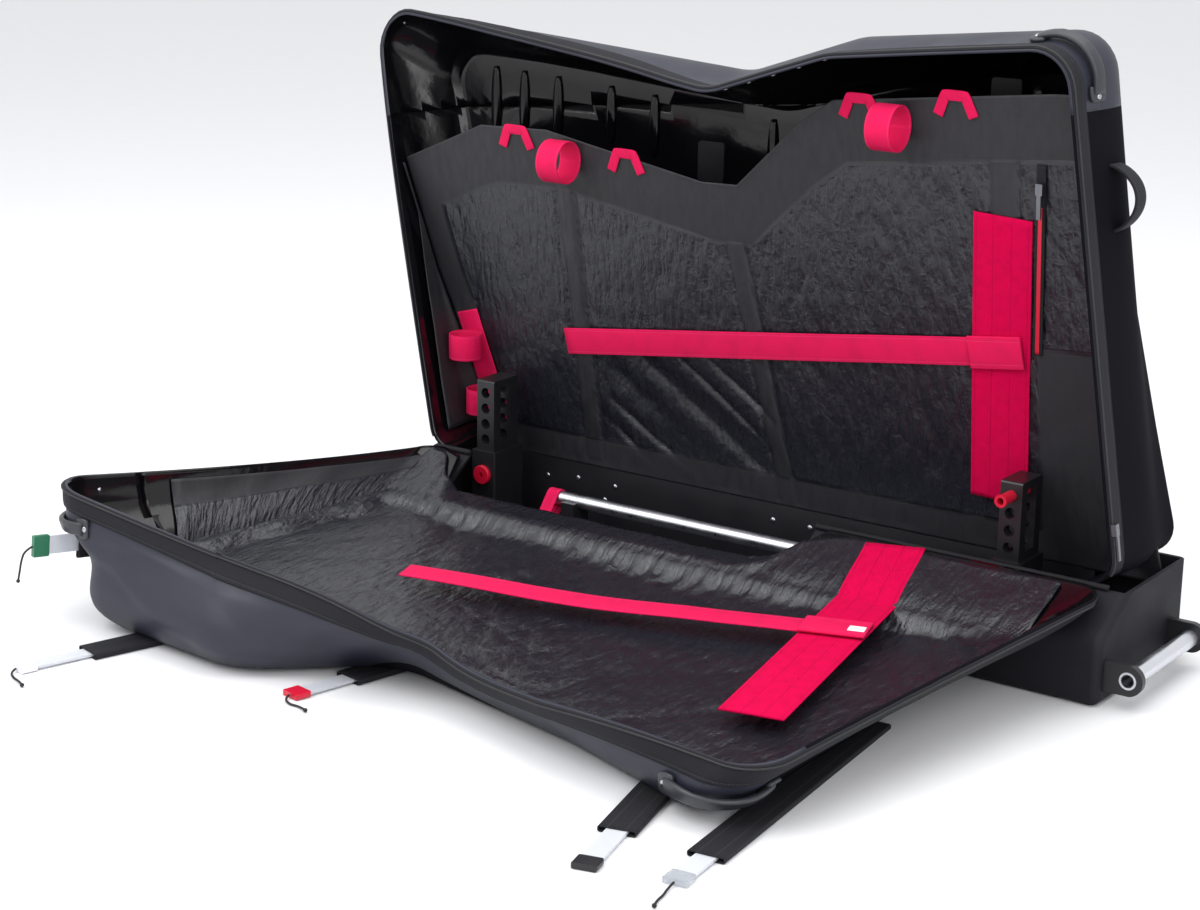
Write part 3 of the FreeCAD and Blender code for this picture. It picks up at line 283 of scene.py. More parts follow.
def opened(x, y, up):
    # the shut case's point turned about the hinge to the open lid
    return (x, y * math.cos(opening) - up * math.sin(opening),
            hinge + y * math.sin(opening) + up * math.cos(opening))


def shut(p):
    y, z = p[..., 1], p[..., 2] - hinge
    return (p[..., 0], y * math.cos(opening) + z * math.sin(opening),
            z * math.cos(opening) - y * math.sin(opening))


rimSetback = np.interp(rim[:, 0] / length, *zip(*setbackShares)) * depth * rim[:, 1] / height
lidRim = np.stack([rim[:, 0], np.maximum(-opened(rim[:, 0], rimSetback, rim[:, 1])[1], 3.3)], -1)


class Hull:
    # a loft: one cubic per column through the outlines, on one chord-length parameter
    def __init__(self, sections):
        self.values = np.stack(sections)
        chord = np.sqrt((np.diff(self.values, axis=0) ** 2).sum(-1).mean(-1))
        self.params = np.concatenate([[0], np.cumsum(chord)])

    def at(self, t):
        return cubic(self.params, self.values, np.asarray(t))

    def crossing(self, test, low, high):
        # bisection of every column at once; the test grows through zero
        n = self.values.shape[1]
        low, high = np.full(n, low), np.full(n, high)
        for _ in range(bisectSteps):
            middle = (low + high) / 2
            under = test(self.at(middle[None])[0]) < 0
            low, high = np.where(under, middle, low), np.where(under, high, middle)
        return (low + high) / 2


# the upright half's outlines at shares of its depth, and the lid's at heights above the floor
rimMix, bodySwell, lipRise = 0.45, 10, 120
bodyLevels = (-0.45, 0.12, 0.5, 0.8, 1)
bodyOutlines = (rim, rim, inset(rim, -bodySwell), rim * rimMix + back * (1 - rimMix), back)
floorZ, floorInset, wallFootZ, neckZ = 8, 14, 22, 95


def withFeet(outline, drop):
    # both end lines run on down to the drop below the hinge
    for foot, above in ((0, 1), (-1, -2)):
        slope = outline[foot] - outline[above]
        outline[foot] = outline[foot] + slope * ((-drop - outline[foot, 1]) / slope[1])
    return outline


def bodyHull(inward, drop):
    sections = []
    for share, outline in zip(bodyLevels, bodyOutlines):
        flat = roundedOutline(withFeet(inset(outline, inward), drop), cornerRadii - cornerTurns * inward)
        y = np.full(len(flat), share * depth - (inward if share == 1 else 0))
        sections.append(np.stack([flat[:, 0], y, hinge + flat[:, 1]], -1))
    return Hull(sections)


def lidHull(inward):
    sections = []
    for z, outline in ((floorZ + inward, inset(lidFloor, floorInset)), (wallFootZ, lidFloor), (neckZ, neck),
                       (hinge, lidRim), (hinge + lipRise, lidRim)):
        flat = roundedOutline(inset(outline, inward), cornerRadii - cornerTurns * inward)
        sections.append(np.stack([flat[:, 0], -flat[:, 1], np.full(len(flat), z)], -1))
    return Hull(sections)


def bodyRimTest(p, beyond=0.0):
    return p[:, 1] - along(setbackShares, p[:, 0]) * (p[:, 2] - hinge) / height - halfGap - beyond


def lidRimTest(p, beyond=0.0):
    x, y, up = shut(p)
    return y - along(setbackShares, x) * up / height + halfGap + beyond


def gridNormals(points, closed):
    padded = np.concatenate([points[:, -1:], points, points[:, :1]], 1) if closed else points
    across = np.gradient(padded, axis=1)
    if closed:
        across = across[:, 1:-1]
    return unit(np.cross(np.gradient(points, axis=0), across))


def spineFill(ring, shares, left, right, level):
    # rings that shrink to a spine: (1 - f) ring + f * nearest spine point
    spine = ring.copy()
    spine[:, 0] = np.clip(ring[:, 0], left, right)
    axis = 1 if np.ptp(ring[:, 2]) < 1e-6 else 2
    spine[:, axis] = level
    f = np.array(shares)[:, None, None]
    return ring[None] * (1 - f) + spine[None] * f


# materials
def linear(r, g, b):
    c = np.array([r, g, b]) / 255
    return tuple(np.where(c <= 0.04045, c / 12.92, ((c + 0.055) / 1.055) ** 2.4)) + (1.0,)


class Finish:
    # a procedural material: base colour, roughness and a height that drives one bump
    def __init__(self, name, colour, roughness, **inputs):
        self.material = bpy.data.materials.new(name)
        self.material.use_nodes = True
        self.tree = self.material.node_tree
        self.shader = self.tree.nodes["Principled BSDF"]
        self.colour, self.roughness, self.height = linear(*colour), roughness, None
        for key, value in inputs.items():
            self.shader.inputs[key.replace("_", " ")].default_value = value
        coordinates = self.node("TexCoord", {})
        self.place, self.cloth = coordinates["Object"], coordinates["UV"]

    def put(self, socket, value):
        if isinstance(value, bpy.types.NodeSocket):
            self.tree.links.new(value, socket)
        else:
            socket.default_value = value

    def node(self, kind, inputs, **settings):
        made = self.tree.nodes.new(f"ShaderNode{kind}")
        for key, value in settings.items():
            setattr(made, key, value)
        for key, value in inputs.items():
            self.put(made.inputs[key], value)
        return made.outputs

    def mark(self, name):
        return self.node("Attribute", {}, attribute_name=name)["Fac"]

    def math(self, operation, *values):
        return self.node("Math", dict(enumerate(values)), operation=operation)[0]

    def split(self, vector):
        return self.node("SeparateXYZ", {0: vector})

    def noise(self, vector, scale, detail, stretch=None):
        if stretch:
            vector = self.node("Mapping", {"Vector": vector, "Scale": stretch})[0]
        return self.node("TexNoise", {"Vector": vector, "Scale": scale, "Detail": detail})[0]

    def cracks(self, vector, scale):
        inputs = {"Vector": vector, "Scale": scale}
        return self.node("TexVoronoi", inputs, feature="DISTANCE_TO_EDGE")["Distance"]

    def ramp(self, value, low, high):
        return self.node("MapRange", {"Value": value, "From Min": low[0], "From Max": low[1],
                                      "To Min": high[0], "To Max": high[1]})[0]

    def tint(self, share, colour):
        inputs = {"Factor": share, 6: self.colour, 7: linear(*colour)}
        self.colour = self.node("Mix", inputs, data_type="RGBA")[2]

    def stain(self, vector, scale, low, amount, colour):
        # patches of a second colour where a coarse noise runs high
        self.tint(self.ramp(self.noise(vector, scale, 5.0), low, (0.0, amount)), colour)

    def lift(self, value, amount):
        lifted = self.math("MULTIPLY", value, amount)
        self.height = lifted if self.height is None else self.math("ADD", self.height, lifted)

    def wave(self, value, pitch):
        # sin(2 pi value / pitch), with the pitch in millimetres
        return self.math("SINE", self.math("MULTIPLY", value, 2 * math.pi / (pitch * milli)))

    def weave(self, vector, pitch, amount):
        # sin(2 pi u / pitch) * sin(2 pi v / pitch): over and under threads
        u, v, _ = self.split(vector)
        self.lift(self.math("MULTIPLY", self.wave(u, pitch), self.wave(v, pitch)), amount)

    def twill(self, vector, pitch, amount):
        # slanted ribs: sin(2 pi (u + v) / pitch) plus cross threads
        u, v, _ = self.split(vector)
        self.lift(self.wave(self.math("ADD", u, v), pitch), amount)
        self.lift(self.wave(v, pitch / 2.5), amount * 0.5)

    def stitch(self, across, run, places, pitch, colour):
        # dashes: |across - place| < half and fract(run / pitch) < dash, in a shallow valley
        half, dash, valley = 0.6 * milli, 0.66, 2.5 * milli
        dashes = self.math("LESS_THAN", self.math("FRACT", self.math("DIVIDE", run, pitch * milli)), dash)
        for place in places:
            off = self.math("ABSOLUTE", self.math("SUBTRACT", across, place * milli))
            thread = self.math("MULTIPLY", self.math("LESS_THAN", off, half), dashes)
            self.tint(self.math("MULTIPLY", thread, 0.8), colour)
            self.lift(thread, 0.5)
            self.lift(self.ramp(off, (0.0, valley), (-0.5, 0.0)), 1.0)

    def done(self, distance):
        self.put(self.shader.inputs["Base Color"], self.colour)
        self.put(self.shader.inputs["Roughness"], self.roughness)
        if self.height is not None:
            bump = self.node("Bump", {"Strength": 1.0, "Distance": distance * milli, "Height": self.height})
            self.put(self.shader.inputs["Normal"], bump[0])
        return self.material


def moulded(name, colour, roughness, grain=900.0, amount=0.25, **inputs):
    finish = Finish(name, colour, roughness, **inputs)
    finish.lift(finish.noise(finish.place, grain, 2.0), amount)
    worn = finish.noise(finish.place, 14.0, 5.0)
    finish.roughness = finish.ramp(worn, (0.3, 0.7), (roughness - 0.06, roughness + 0.09))
    return finish


def shellPlastic():
    finish = moulded("shellPlastic", (36, 38, 50), 0.5, 1400.0, 0.2, Specular_IOR_Level=0.4)
    scuff = finish.noise(finish.place, 9.0, 6.0, (1.0, 1.0, 6.0))
    finish.tint(finish.ramp(scuff, (0.5, 0.8), (0.0, 0.2)), (54, 56, 70))
    return finish.done(0.25)


def nylonPanel():
    finish = Finish("nylonPanel", (11, 11, 18), 0.85, Specular_IOR_Level=0.08)
    finish.weave(finish.cloth, 2.2, 0.5)
    finish.lift(finish.noise(finish.place, 60.0, 4.0), 0.9)
    finish.stain(finish.place, 7.0, (0.45, 0.75), 0.2, (24, 24, 32))
    return finish.done(0.5)


def rimNylon():
    finish = Finish("rimNylon", (21, 21, 28), 0.72, Specular_IOR_Level=0.3)
    finish.weave(finish.cloth, 1.8, 0.4)
    finish.lift(finish.noise(finish.cloth, 160.0, 4.0), 0.5)
    run, across, _ = finish.split(finish.cloth)
    finish.stitch(across, run, (5.0, 25.0), 4.0, (58, 58, 64))
    return finish.done(0.6)


def linerCoat():
    finish = Finish("linerCoat", (25, 26, 34), 0.3, Specular_IOR_Level=0.6)
    matte = finish.mark("matte")
    shiny = finish.math("SUBTRACT", 1.0, matte)
    ripple = finish.noise(finish.cloth, 95.0, 5.0, (1.0, 0.3, 1.0))
    finish.lift(finish.math("MULTIPLY", ripple, shiny), 9.0)
    creases = finish.ramp(finish.cracks(finish.cloth, 64.0), (0.0, 0.2), (1.0, 0.0))
    finish.lift(finish.math("MULTIPLY", creases, shiny), 0.4)
    fine = finish.noise(finish.cloth, 320.0, 4.0)
    finish.lift(finish.math("MULTIPLY", fine, shiny), 0.9)
    finish.weave(finish.cloth, 2.6, 0.1)
    coated = finish.ramp(ripple, (0.3, 0.7), (0.16, 0.34))
    finish.roughness = finish.math("ADD", coated, finish.math("MULTIPLY", matte, 0.38))
    finish.tint(finish.math("MULTIPLY", matte, 0.6), (19, 19, 24))
    return finish.done(0.5)


def webbing(name, colour, thread, width):
    finish = Finish(name, colour, 0.7, Specular_IOR_Level=0.3)
    finish.twill(finish.cloth, 2.4, 0.5)
    finish.lift(finish.noise(finish.cloth, 900.0, 2.0), 0.5)
    finish.stain(finish.cloth, 30.0, (0.45, 0.8), 0.25, tuple(0.62 * c for c in colour))
    across, run, _ = finish.split(finish.cloth)
    finish.stitch(across, run, (width / 2 - 4, 4 - width / 2), 3.4, thread)
    return finish.done(0.5)


def loopPile():
    finish = Finish("loopPile", (218, 0, 74), 0.92, Specular_IOR_Level=0.1)
    finish.lift(finish.noise(finish.cloth, 1500.0, 4.0), 1.6)
    finish.lift(finish.cracks(finish.cloth, 420.0), 2.0)
    finish.stain(finish.cloth, 60.0, (0.45, 0.8), 0.3, (160, 0, 52))
    across, run, _ = finish.split(finish.cloth)
    finish.stitch(across, run, (39.0, 14.0, -14.0, -39.0), 4.0, (176, 0, 58))
    return finish.done(0.8)


def brushed(name, colour, roughness):
    finish = Finish(name, colour, roughness, Metallic=1.0)
    finish.lift(finish.noise(finish.place, 260.0, 3.0, (0.04, 1.0, 1.0)), 0.3)
    worn = finish.noise(finish.place, 30.0, 4.0)
    finish.roughness = finish.ramp(worn, (0.3, 0.7), (roughness - 0.08, roughness + 0.1))
    return finish.done(0.15)


def glassy(name, colour, roughness, through):
    finish = moulded(name, colour, roughness, 500.0, 0.15, Transmission_Weight=through, IOR=1.46)
    return finish.done(0.15)


looks = {
    "shell": shellPlastic(),
    "inside": moulded("shellInside", (10, 10, 13), 0.14, 60.0, 0.6, Specular_IOR_Level=0.4).done(0.5),
    "panel": nylonPanel(),
    "rim": rimNylon(),
    "liner": linerCoat(),
    "red": webbing("redWebbing", (232, 0, 84), (240, 60, 118), 42.0),
    "redNarrow": webbing("redNarrow", (232, 0, 84), (240, 60, 118), 22.0),
    "black": webbing("blackWebbing", (26, 26, 31), (62, 62, 68), 30.0),
    "hook": loopPile(),
    "tub": moulded("tubCloth", (18, 18, 25), 0.7, 700.0, 0.9, Specular_IOR_Level=0.3).done(0.5),
    "plastic": moulded("blackPlastic", (24, 24, 28), 0.38).done(0.2),
    "grey": moulded("greyPlastic", (44, 45, 51), 0.4).done(0.2),
    "redPlastic": moulded("redPlastic", (196, 16, 48), 0.3).done(0.15),
    "aluminium": brushed("aluminium", (214, 216, 222), 0.3),
    "steel": brushed("steel", (176, 178, 184), 0.28),
    "rubber": moulded("rubber", (30, 30, 33), 0.78, 500.0, 0.8).done(0.4),
    "batten": glassy("battenPlastic", (226, 229, 236), 0.4, 0.35),
    "white": moulded("whitePlastic", (230, 231, 236), 0.36).done(0.15),
    "green": moulded("greenPlastic", (48, 112, 84), 0.36).done(0.15),
    "clear": glassy("clearPlastic", (226, 230, 236), 0.2, 0.7),
    "cord": moulded("cordBlack", (22, 22, 26), 0.7, 1800.0, 1.2).done(0.4),
    "zip": brushed("zipMetal", (120, 122, 128), 0.34),
}
nodeLooks = {
    "tub": ["base_tub"],
    "plastic": ["back_board", "rail_feet", "left_socket", "right_socket", "bar_ears", "wheel_carrier",
                "cap_black", "shell_plates", "left_mast", "right_mast"],
    "aluminium": ["stand_rail", "grab_bar"],
    "rubber": ["front_wheel", "rear_wheel"],
    "steel": ["wheel_axle"],
    "redPlastic": ["left_clamp_knob", "right_clamp_knob", "axle_tube", "cap_red"],
    "white": ["cap_white"],
    "green": ["cap_green"],
    "clear": ["cap_clear"],
    "batten": ["batten_left", "batten_middle", "batten_right", "batten_end", "batten_side"],
    "zip": ["pocket_slider", "zip_slider"],
}
for look, names in nodeLooks.items():
    for name in names:
        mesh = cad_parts[name].data
        mesh.materials.clear()
        mesh.materials.append(looks[look])
print("materials ready")

# pull cords: limp, each tied off in a knot
cordRoutes = {
    "white": ([(-624, -827.1, 4.1), (-622, -838, 2.8), (-606, -848, 1.8), (-590, -852, 1.9), (-574, -862, 3.2)],
              0.0646, "left_batten"),
    "red": ([(-270.5, -680.1, 4.1), (-268, -691, 2.8), (-252, -699, 1.8), (-236, -697, 1.9), (-220, -705, 3.2)],
            0.0617, "middle_batten"),
    "clear": ([(441.5, -847.4, 4.1), (443, -862, 2.6), (447.5, -877, 1.8), (449, -892, 1.9), (455, -906, 3.2)],
              0.0606, "end_batten"),
    "green": ([(-747.4, -676.6, 112.2), (-751, -688.5, 108), (-753, -693.5, 93), (-756, -694, 79),
               (-757, -697, 65)], 0.0568, "side_batten"),
}
cordThickness, knotRadius = 3.0, 3.0
knotRows, knotColumns, knotRidge = 15, 24, 0.07


def knotBall(centre):
    # a sphere with wound ridges: r (1 - ridge + ridge sin(3 longitude + 4 latitude))
    longitudes = np.linspace(0, 2 * math.pi, knotColumns + 1)[:-1]
    latitude, longitude = np.meshgrid(np.linspace(0, math.pi, knotRows), longitudes, indexing="ij")
    radius = knotRadius * (1 - knotRidge + knotRidge * np.sin(3 * longitude + 4 * latitude))
    flat = radius * np.sin(latitude)
    ball = [flat * np.cos(longitude), flat * np.sin(longitude), radius * np.cos(latitude)]
    return np.stack(ball, -1) + centre


for colour, (route, cordLength, body) in cordRoutes.items():
    points = np.array(route, float)
    data = bpy.data.curves.new(f"cord{colour.title()}", "CURVE")
    data.dimensions = "3D"
    line = data.splines.new("NURBS")
    line.points.add(len(points) - 1)
    line.points.foreach_set("co", np.hstack([points * milli, np.ones((len(points), 1))]).ravel())
    line.order_u = 3
    line.use_endpoint_u = True
    line.resolution_u = 16
    data.bevel_depth = cordThickness / 2 * milli
    data.bevel_resolution = 5
    data.use_fill_caps = True
    piece = bpy.data.objects.new(f"cord_{colour}_drawn", data)
    scene.collection.objects.link(piece)
    dress(piece, body, "cord_black", [f"cord_{colour}"], "cord")
    knot = addPiece(f"knot_{colour}", knotBall(points[-1]), gridFaces(knotRows, knotColumns, True),
                    outward=True)
    dress(knot, body, "cord_black", [], "cord")
print("cords ready")

# upright half: hard shell above the slanting seam, padded panel below it
seamShare, seamSlope = 0.804, 0.18
seamRise = seamSlope * height / length
seamPoint = Vector((0, 0, hinge + seamShare * height)) * milli
seamNormal = Vector((-seamRise, 0, 1)).normalized()
lidSeamPoint = Vector((0, -seamShare * height, 0)) * milli
lidSeamNormal = Vector((-seamRise, -1, 0)).normalized()


def halved(name, points, faces, uv, cap, planePoint, planeNormal):
    piece = addPiece(name, points, faces, uv, cap=cap)
    bm = bmesh.new()
    bm.from_mesh(piece.data)
    bmesh.ops.bisect_plane(bm, geom=bm.verts[:] + bm.edges[:] + bm.faces[:], dist=1e-7, plane_co=planePoint,
                           plane_no=planeNormal, clear_inner=True)
    bm.to_mesh(piece.data)
    bm.free()
    piece.data.shade_smooth()
    return piece


def skins(half, body, planePoint, planeNormal, *form):
    # the hard shell on one side of the seam and the padded panel on the other
    for kind, slotName, normal in (("shell", "shell_plastic", planeNormal),
                                   ("panel", "panel_fabric", -planeNormal)):
        piece = thicken(halved(f"{half}_{kind}_skin", *form, planePoint, normal), wall, 1)
        dress(piece, body, slotName, [f"{half}_{kind}"], kind, "inside")


bodyForm = {"edgeRound": 12.0, "wallRows": 26, "edgeSteps": 6, "fillSteps": 12,
            "spine": (-330, 300, hinge + 300)}
bodyOuter = bodyHull(0, footDrop)
bodyRimAt = bodyOuter.crossing(bodyRimTest, 0, bodyOuter.params[-1])
edgeRound = bodyForm["edgeRound"]
bodyEdgeAt = bodyOuter.crossing(lambda p: p[:, 1] - (depth - edgeRound), 0, bodyOuter.params[-1])
wallShare = np.linspace(0, 1, bodyForm["wallRows"])[:, None]
bodyWall = bodyOuter.at(bodyRimAt * (1 - wallShare) + bodyEdgeAt * wallShare)
footed = withFeet(inset(back, 0), footDrop)
edgeRows = []
for turn in np.linspace(0, math.pi / 2, bodyForm["edgeSteps"])[1:]:
    # the wall turns into the back on a quarter circle
    drawn = edgeRound * (1 - math.cos(turn))
    flat = roundedOutline(inset(footed, drawn), cornerRadii - cornerTurns * drawn)
    edgeY = np.full(len(flat), depth - edgeRound + edgeRound * math.sin(turn))
    edgeRows.append(np.stack([flat[:, 0], edgeY, hinge + flat[:, 1]], -1))
backFill = spineFill(edgeRows[-1], np.linspace(0, 1, bodyForm["fillSteps"])[1:-1], *bodyForm["spine"])
bodySkin = np.concatenate([bodyWall, np.stack(edgeRows), backFill])
bodyRows, ringSize = bodySkin.shape[:2]
# the wall is open along the bottom, where the tub closes it
bottomStart = 6 * (arcSteps + runSteps) + arcSteps
keepFace = np.ones((bodyRows - 1, ringSize), bool)
keepFace[:bodyForm["wallRows"], bottomStart - 1:] = False
bodyFaces = gridFaces(bodyRows, ringSize, True).reshape(bodyRows - 1, -1, 4)[keepFace]
bodyCap = np.arange(ringSize) + (bodyRows - 1) * ringSize
bodyUv = np.stack([bodySkin[..., 0] + bodySkin[..., 1], bodySkin[..., 2]], -1)
skins("body", "base", seamPoint, seamNormal, bodySkin, bodyFaces, bodyUv, bodyCap)

# lid: floor rings, walls up to the zip line, and a moulded crease on the free wall
lidForm = {"wallRows": 44, "fillSteps": 12, "spine": (-420, 200, -420), "dipRun": 16, "creaseLift": 3.0}
apronLeft, apronRight, apronHeight = -500.0, 120.0, 90.0
hingeSide = -8
lidOuter = lidHull(0)
lidRimAt = lidOuter.crossing(lidRimTest, lidOuter.params[2] * 0.5, lidOuter.params[-1])
# between the stands the hinge edge dips from the zip line to the apron's height
lidDipAt = lidOuter.crossing(lambda p: p[:, 2] - apronHeight, lidOuter.params[1], lidOuter.params[-1])
hingePlace = lidOuter.at(lidRimAt[None])[0]
dipRun = lidForm["dipRun"]
dip = smooth(apronLeft - dipRun, apronLeft + dipRun, hingePlace[:, 0])
dip = dip * smooth(apronRight + dipRun, apronRight - dipRun, hingePlace[:, 0])
dip = dip * (hingePlace[:, 1] > hingeSide)
lidRimAt = lidRimAt * (1 - dip) + lidDipAt * dip
lidWall = lidOuter.at(lidRimAt * np.linspace(0, 1, lidForm["wallRows"])[:, None])
lidFill = spineFill(lidWall[0], np.linspace(1, 0, lidForm["fillSteps"])[1:-1], *lidForm["spine"])
lidSkin = np.concatenate([lidFill, lidWall])
# crease: its height over x, and a lift above it that fades out at both ends and under the rim band
skinX, skinY, skinZ = np.moveaxis(lidSkin, -1, 0)
creaseAt = np.interp(skinX, [-800, -680, -610, -560, -520, -430, -360], [128, 112, 92, 66, 48, 32, 26])
creaseSpan = smooth(-800, -760, skinX) * (1 - smooth(-430, -330, skinX))
onWall = smooth(-420, -520, skinY) * smooth(12, 22, skinZ)
crease = lidForm["creaseLift"] * smooth(-9, 9, skinZ - creaseAt) * creaseSpan * onWall
_, shutY, shutUp = shut(lidSkin)
below = 1 - smooth(-45, -32, shutY - along(setbackShares, skinX) * shutUp / height)
lidSkin = lidSkin - gridNormals(lidSkin, True) * (crease * below)[..., None]
lidFaces = gridFaces(*lidSkin.shape[:2], True)
lidUv = np.stack([lidSkin[..., 0], lidSkin[..., 1] + lidSkin[..., 2]], -1)
skins("lid", "lid", lidSeamPoint, lidSeamNormal, lidSkin, lidFaces, lidUv, np.arange(lidSkin.shape[1])[::-1])
print("shells ready")

# rim bands: profile h(v) over 30 mm beside the zip line, with two stitched valleys
bandForm = {"v": np.array([0, 0.4, 1.5, 3.5, 5, 6.5, 10, 15, 20, 23.5, 25, 26.5, 28.5, 29.6, 30]),
            "h": np.array([0.4, 2.2, 3.0, 3.2, 2.6, 3.2, 3.3, 3.3, 3.3, 3.2, 2.6, 3.2, 2.8, 2.0, 0.4]),
            "pucker": 0.25, "thick": 1.6, "clear": 12}
coilForm = {"row": 3, "stand": 3.4, "radius": 1.5, "steps": 8, "swell": 0.3, "pitch": 2.6, "spacing": 0.65}


def rimBand(name, hull, test, sign, use, body, node):
    v = bandForm["v"]
    base = np.stack([hull.at(hull.crossing(lambda p: test(p, beyond), 0, hull.params[-1])[None])[0]
                     for beyond in v])
    normal = gridNormals(base, True) * -sign
    pucker = bandForm["pucker"] * noise(np.arange(base.shape[1])[None] * 0.9, v[:, None] * 0.1, 5)
    strip = base + normal * (bandForm["h"][:, None] + pucker)[..., None]
    columns = use(base[0])
    strip, base = strip[:, columns], base[:, columns]
    uv = np.stack(np.broadcast_arrays(runOf(base[0])[None], v[:, None]), -1)
    faces = gridFaces(*strip.shape[:2], False)
    piece = thicken(addPiece(name, strip, faces if sign > 0 else faces[:, ::-1], uv), bandForm["thick"])
    dress(piece, body, "rim_nylon", [node], "rim")
    return base, normal[:, columns]


def zipCoil(name, base, out, body):
    # coil: radius (1 + swell sin(2 pi s / pitch)) along the band's outer face
    row = coilForm["row"]
    path = base[row] + out[row] * coilForm["stand"]
    run = runOf(path)
    fine = np.arange(0, run[-1], coilForm["spacing"])
    path, outward = sampled(fine, run, path), unit(sampled(fine, run, out[row]))
    side = unit(np.cross(np.gradient(path, axis=0), outward))
    swell = (1 + coilForm["swell"] * np.sin(2 * math.pi * fine / coilForm["pitch"]))[:, None]
    piece = sweep(name, path, side * swell, outward * swell, ringProfile(coilForm["radius"], coilForm["steps"]))
    dress(piece, body, "rim_nylon", [], "plastic")


bodyBand = rimBand("body_rim_band_sewn", bodyOuter, bodyRimTest, 1,
                   lambda p: np.flatnonzero(p[:, 2] > hinge + bandForm["clear"]), "base", "body_rim_band")
lidBand = rimBand("lid_rim_band_sewn", lidOuter, lidRimTest, -1,
                  lambda p: np.flatnonzero(p[:, 1] < -bandForm["clear"]), "lid", "lid_rim_band")
zipCoil("body_zip_coil", *bodyBand, "base")
zipCoil("lid_zip_coil", *lidBand, "lid")
print("rim bands ready")

# body liner: crinkled sheet leaning from the back board to the rim, folds only backwards
linerFolds = [(90, 2.2, 0.35), (46, 1.3, 0.55), (24, 0.5, 0.2)]
sideFolds = [(80, 2.0, 0.4), (30, 0.8, -0.6)]
boardTop, linerFoot, linerThick = 108.0, 150.0, 1.2
# each channel: foot x and z, head x and z, width
channels = [(-367, 125, -385, 575, 34), (-14, 112, -93, 572, 32), (352, 300, 355, 740, 44),
            (-598, 160, -594, 350, 30)]
tensionForm = {"size": 7, "slant": 1.34, "pitch": 52, "run": 300}
bodyGrid = {"rows": 181, "columns": 301, "edgePasses": 6, "gap": 6, "sideRows": 60, "sideColumns": 14}


def linerPlane(x, z):
    top = (0.25 - 0.25 * (x / length + 0.8) / 1.5) * depth
    return linerFoot + (top - linerFoot) * (z - boardTop) / (hinge + height - boardTop)


def hullSide(y, up, foot, head):
    # straight end line of each outline, mixed between the loft's levels
    lines = [o[foot, 0] + (o[head, 0] - o[foot, 0]) * up / o[head, 1] for o in bodyOutlines[1:]]
    weights = [np.interp(y, np.array(bodyLevels[1:]) * depth, row) for row in np.eye(len(lines))]
    return sum(w * line for w, line in zip(weights, lines))


def linerEnds(z):
    y = linerPlane(0, z)
    return hullSide(y, z - hinge, 0, 1) + bodyGrid["gap"], hullSide(y, z - hinge, -1, -2) - bodyGrid["gap"]


def channelSpan(x, z, channel):
    # how far a place lies beyond a channel's edge, and 1 along the channel's length
    x0, z0, x1, z1, width = channel
    off = np.abs(x - x0 - (x1 - x0) * (z - z0) / (z1 - z0))
    return off - width / 2, smooth(z0 - 8, z0, z) * smooth(z1 + 8, z1, z)


def linerFold(x, z):
    # crossed folds; each channel is a smooth flat rib between two sewn valleys
    fold = crinkle(x, z, 3, linerFolds)
    for channel in channels:
        beyond, span = channelSpan(x, z, channel)
        fold = fold * (1 - 0.9 * smooth(6, -2, beyond) * span) + 5.0 * np.exp(-(beyond / 4) ** 2) * span
    return fold


def dullBands(x, z, left, topZ):
    # 1 in the bands along the top, the foot, the left end and the lower right, 0.6 in the channels
    matte = np.maximum(smooth(92, 84, topZ[None] - z), smooth(boardTop + 52, boardTop + 44, z))
    matte = np.maximum(matte, smooth(52, 44, x - left))
    matte = np.maximum(matte, smooth(396, 404, x) * smooth(hinge + 290, hinge + 280, z))
    for channel in channels:
        beyond, span = channelSpan(x, z, channel)
        matte = np.maximum(matte, 0.6 * smooth(1, -2, beyond) * span)
    return matte


def bodySheetGrid():
    s, t = np.meshgrid(np.linspace(0, 1, bodyGrid["columns"]), np.linspace(0, 1, bodyGrid["rows"]))
    edgeTable = np.array(linerEdgeShares) * full
    topZ = np.full_like(s[0], 600.0)
    for _ in range(bodyGrid["edgePasses"]):
        left, right = linerEnds(topZ)
        topZ = hinge + np.interp(left + (right - left) * s[0], edgeTable[:, 0], edgeTable[:, 1])
    z = boardTop + 0.5 + t * (topZ[None] - boardTop - 0.5)
    left, right = linerEnds(z)
    x = left + (right - left) * s
    matte = dullBands(x, z, left, topZ)
    # tension folds run down and to the right from the strap to the hem
    slanted = (x + tensionForm["slant"] * z) / tensionForm["pitch"]
    tension = tensionForm["size"] * (1 - np.abs(noise(slanted, z / tensionForm["run"], 21))) ** 4
    tension = tension * smooth(boardTop + 12, boardTop + 60, z)
    tension = tension * smooth(350, 270, z) * smooth(-352, -300, x) * smooth(-10, -70, x)
    hem = smooth(0, 0.02, t) * smooth(1, 0.985, t)
    folded = (linerFold(x, z) + tension) * (1 - 0.7 * matte)
    return np.stack([x, linerPlane(x, z) + folded * hem, z], -1), matte, topZ[0]


def sideLining(topLeft):
    # the liner's side strip: over each height from the sheet's left edge forward to the rim band
    rows, columns = bodyGrid["sideRows"], bodyGrid["sideColumns"]
    up, share = np.meshgrid(np.linspace(hinge + 16, topLeft - 6, rows), np.linspace(0, 1, columns),
                            indexing="ij")
    sheetY = linerPlane(0, up)
    rimY = along(setbackShares, hullSide(sheetY, up - hinge, 0, 1)) * (up - hinge) / height + 36
    y = sheetY + (np.minimum(rimY, sheetY - 4) - sheetY) * share
    grid = np.stack([hullSide(y, up - hinge, 0, 1) + 7 + crinkle(y, up, 17, sideFolds), y, up], -1)
    return addPiece("body_liner_side", grid, gridFaces(rows, columns, False), np.stack([y, up], -1),
                    matte=np.ones_like(up))


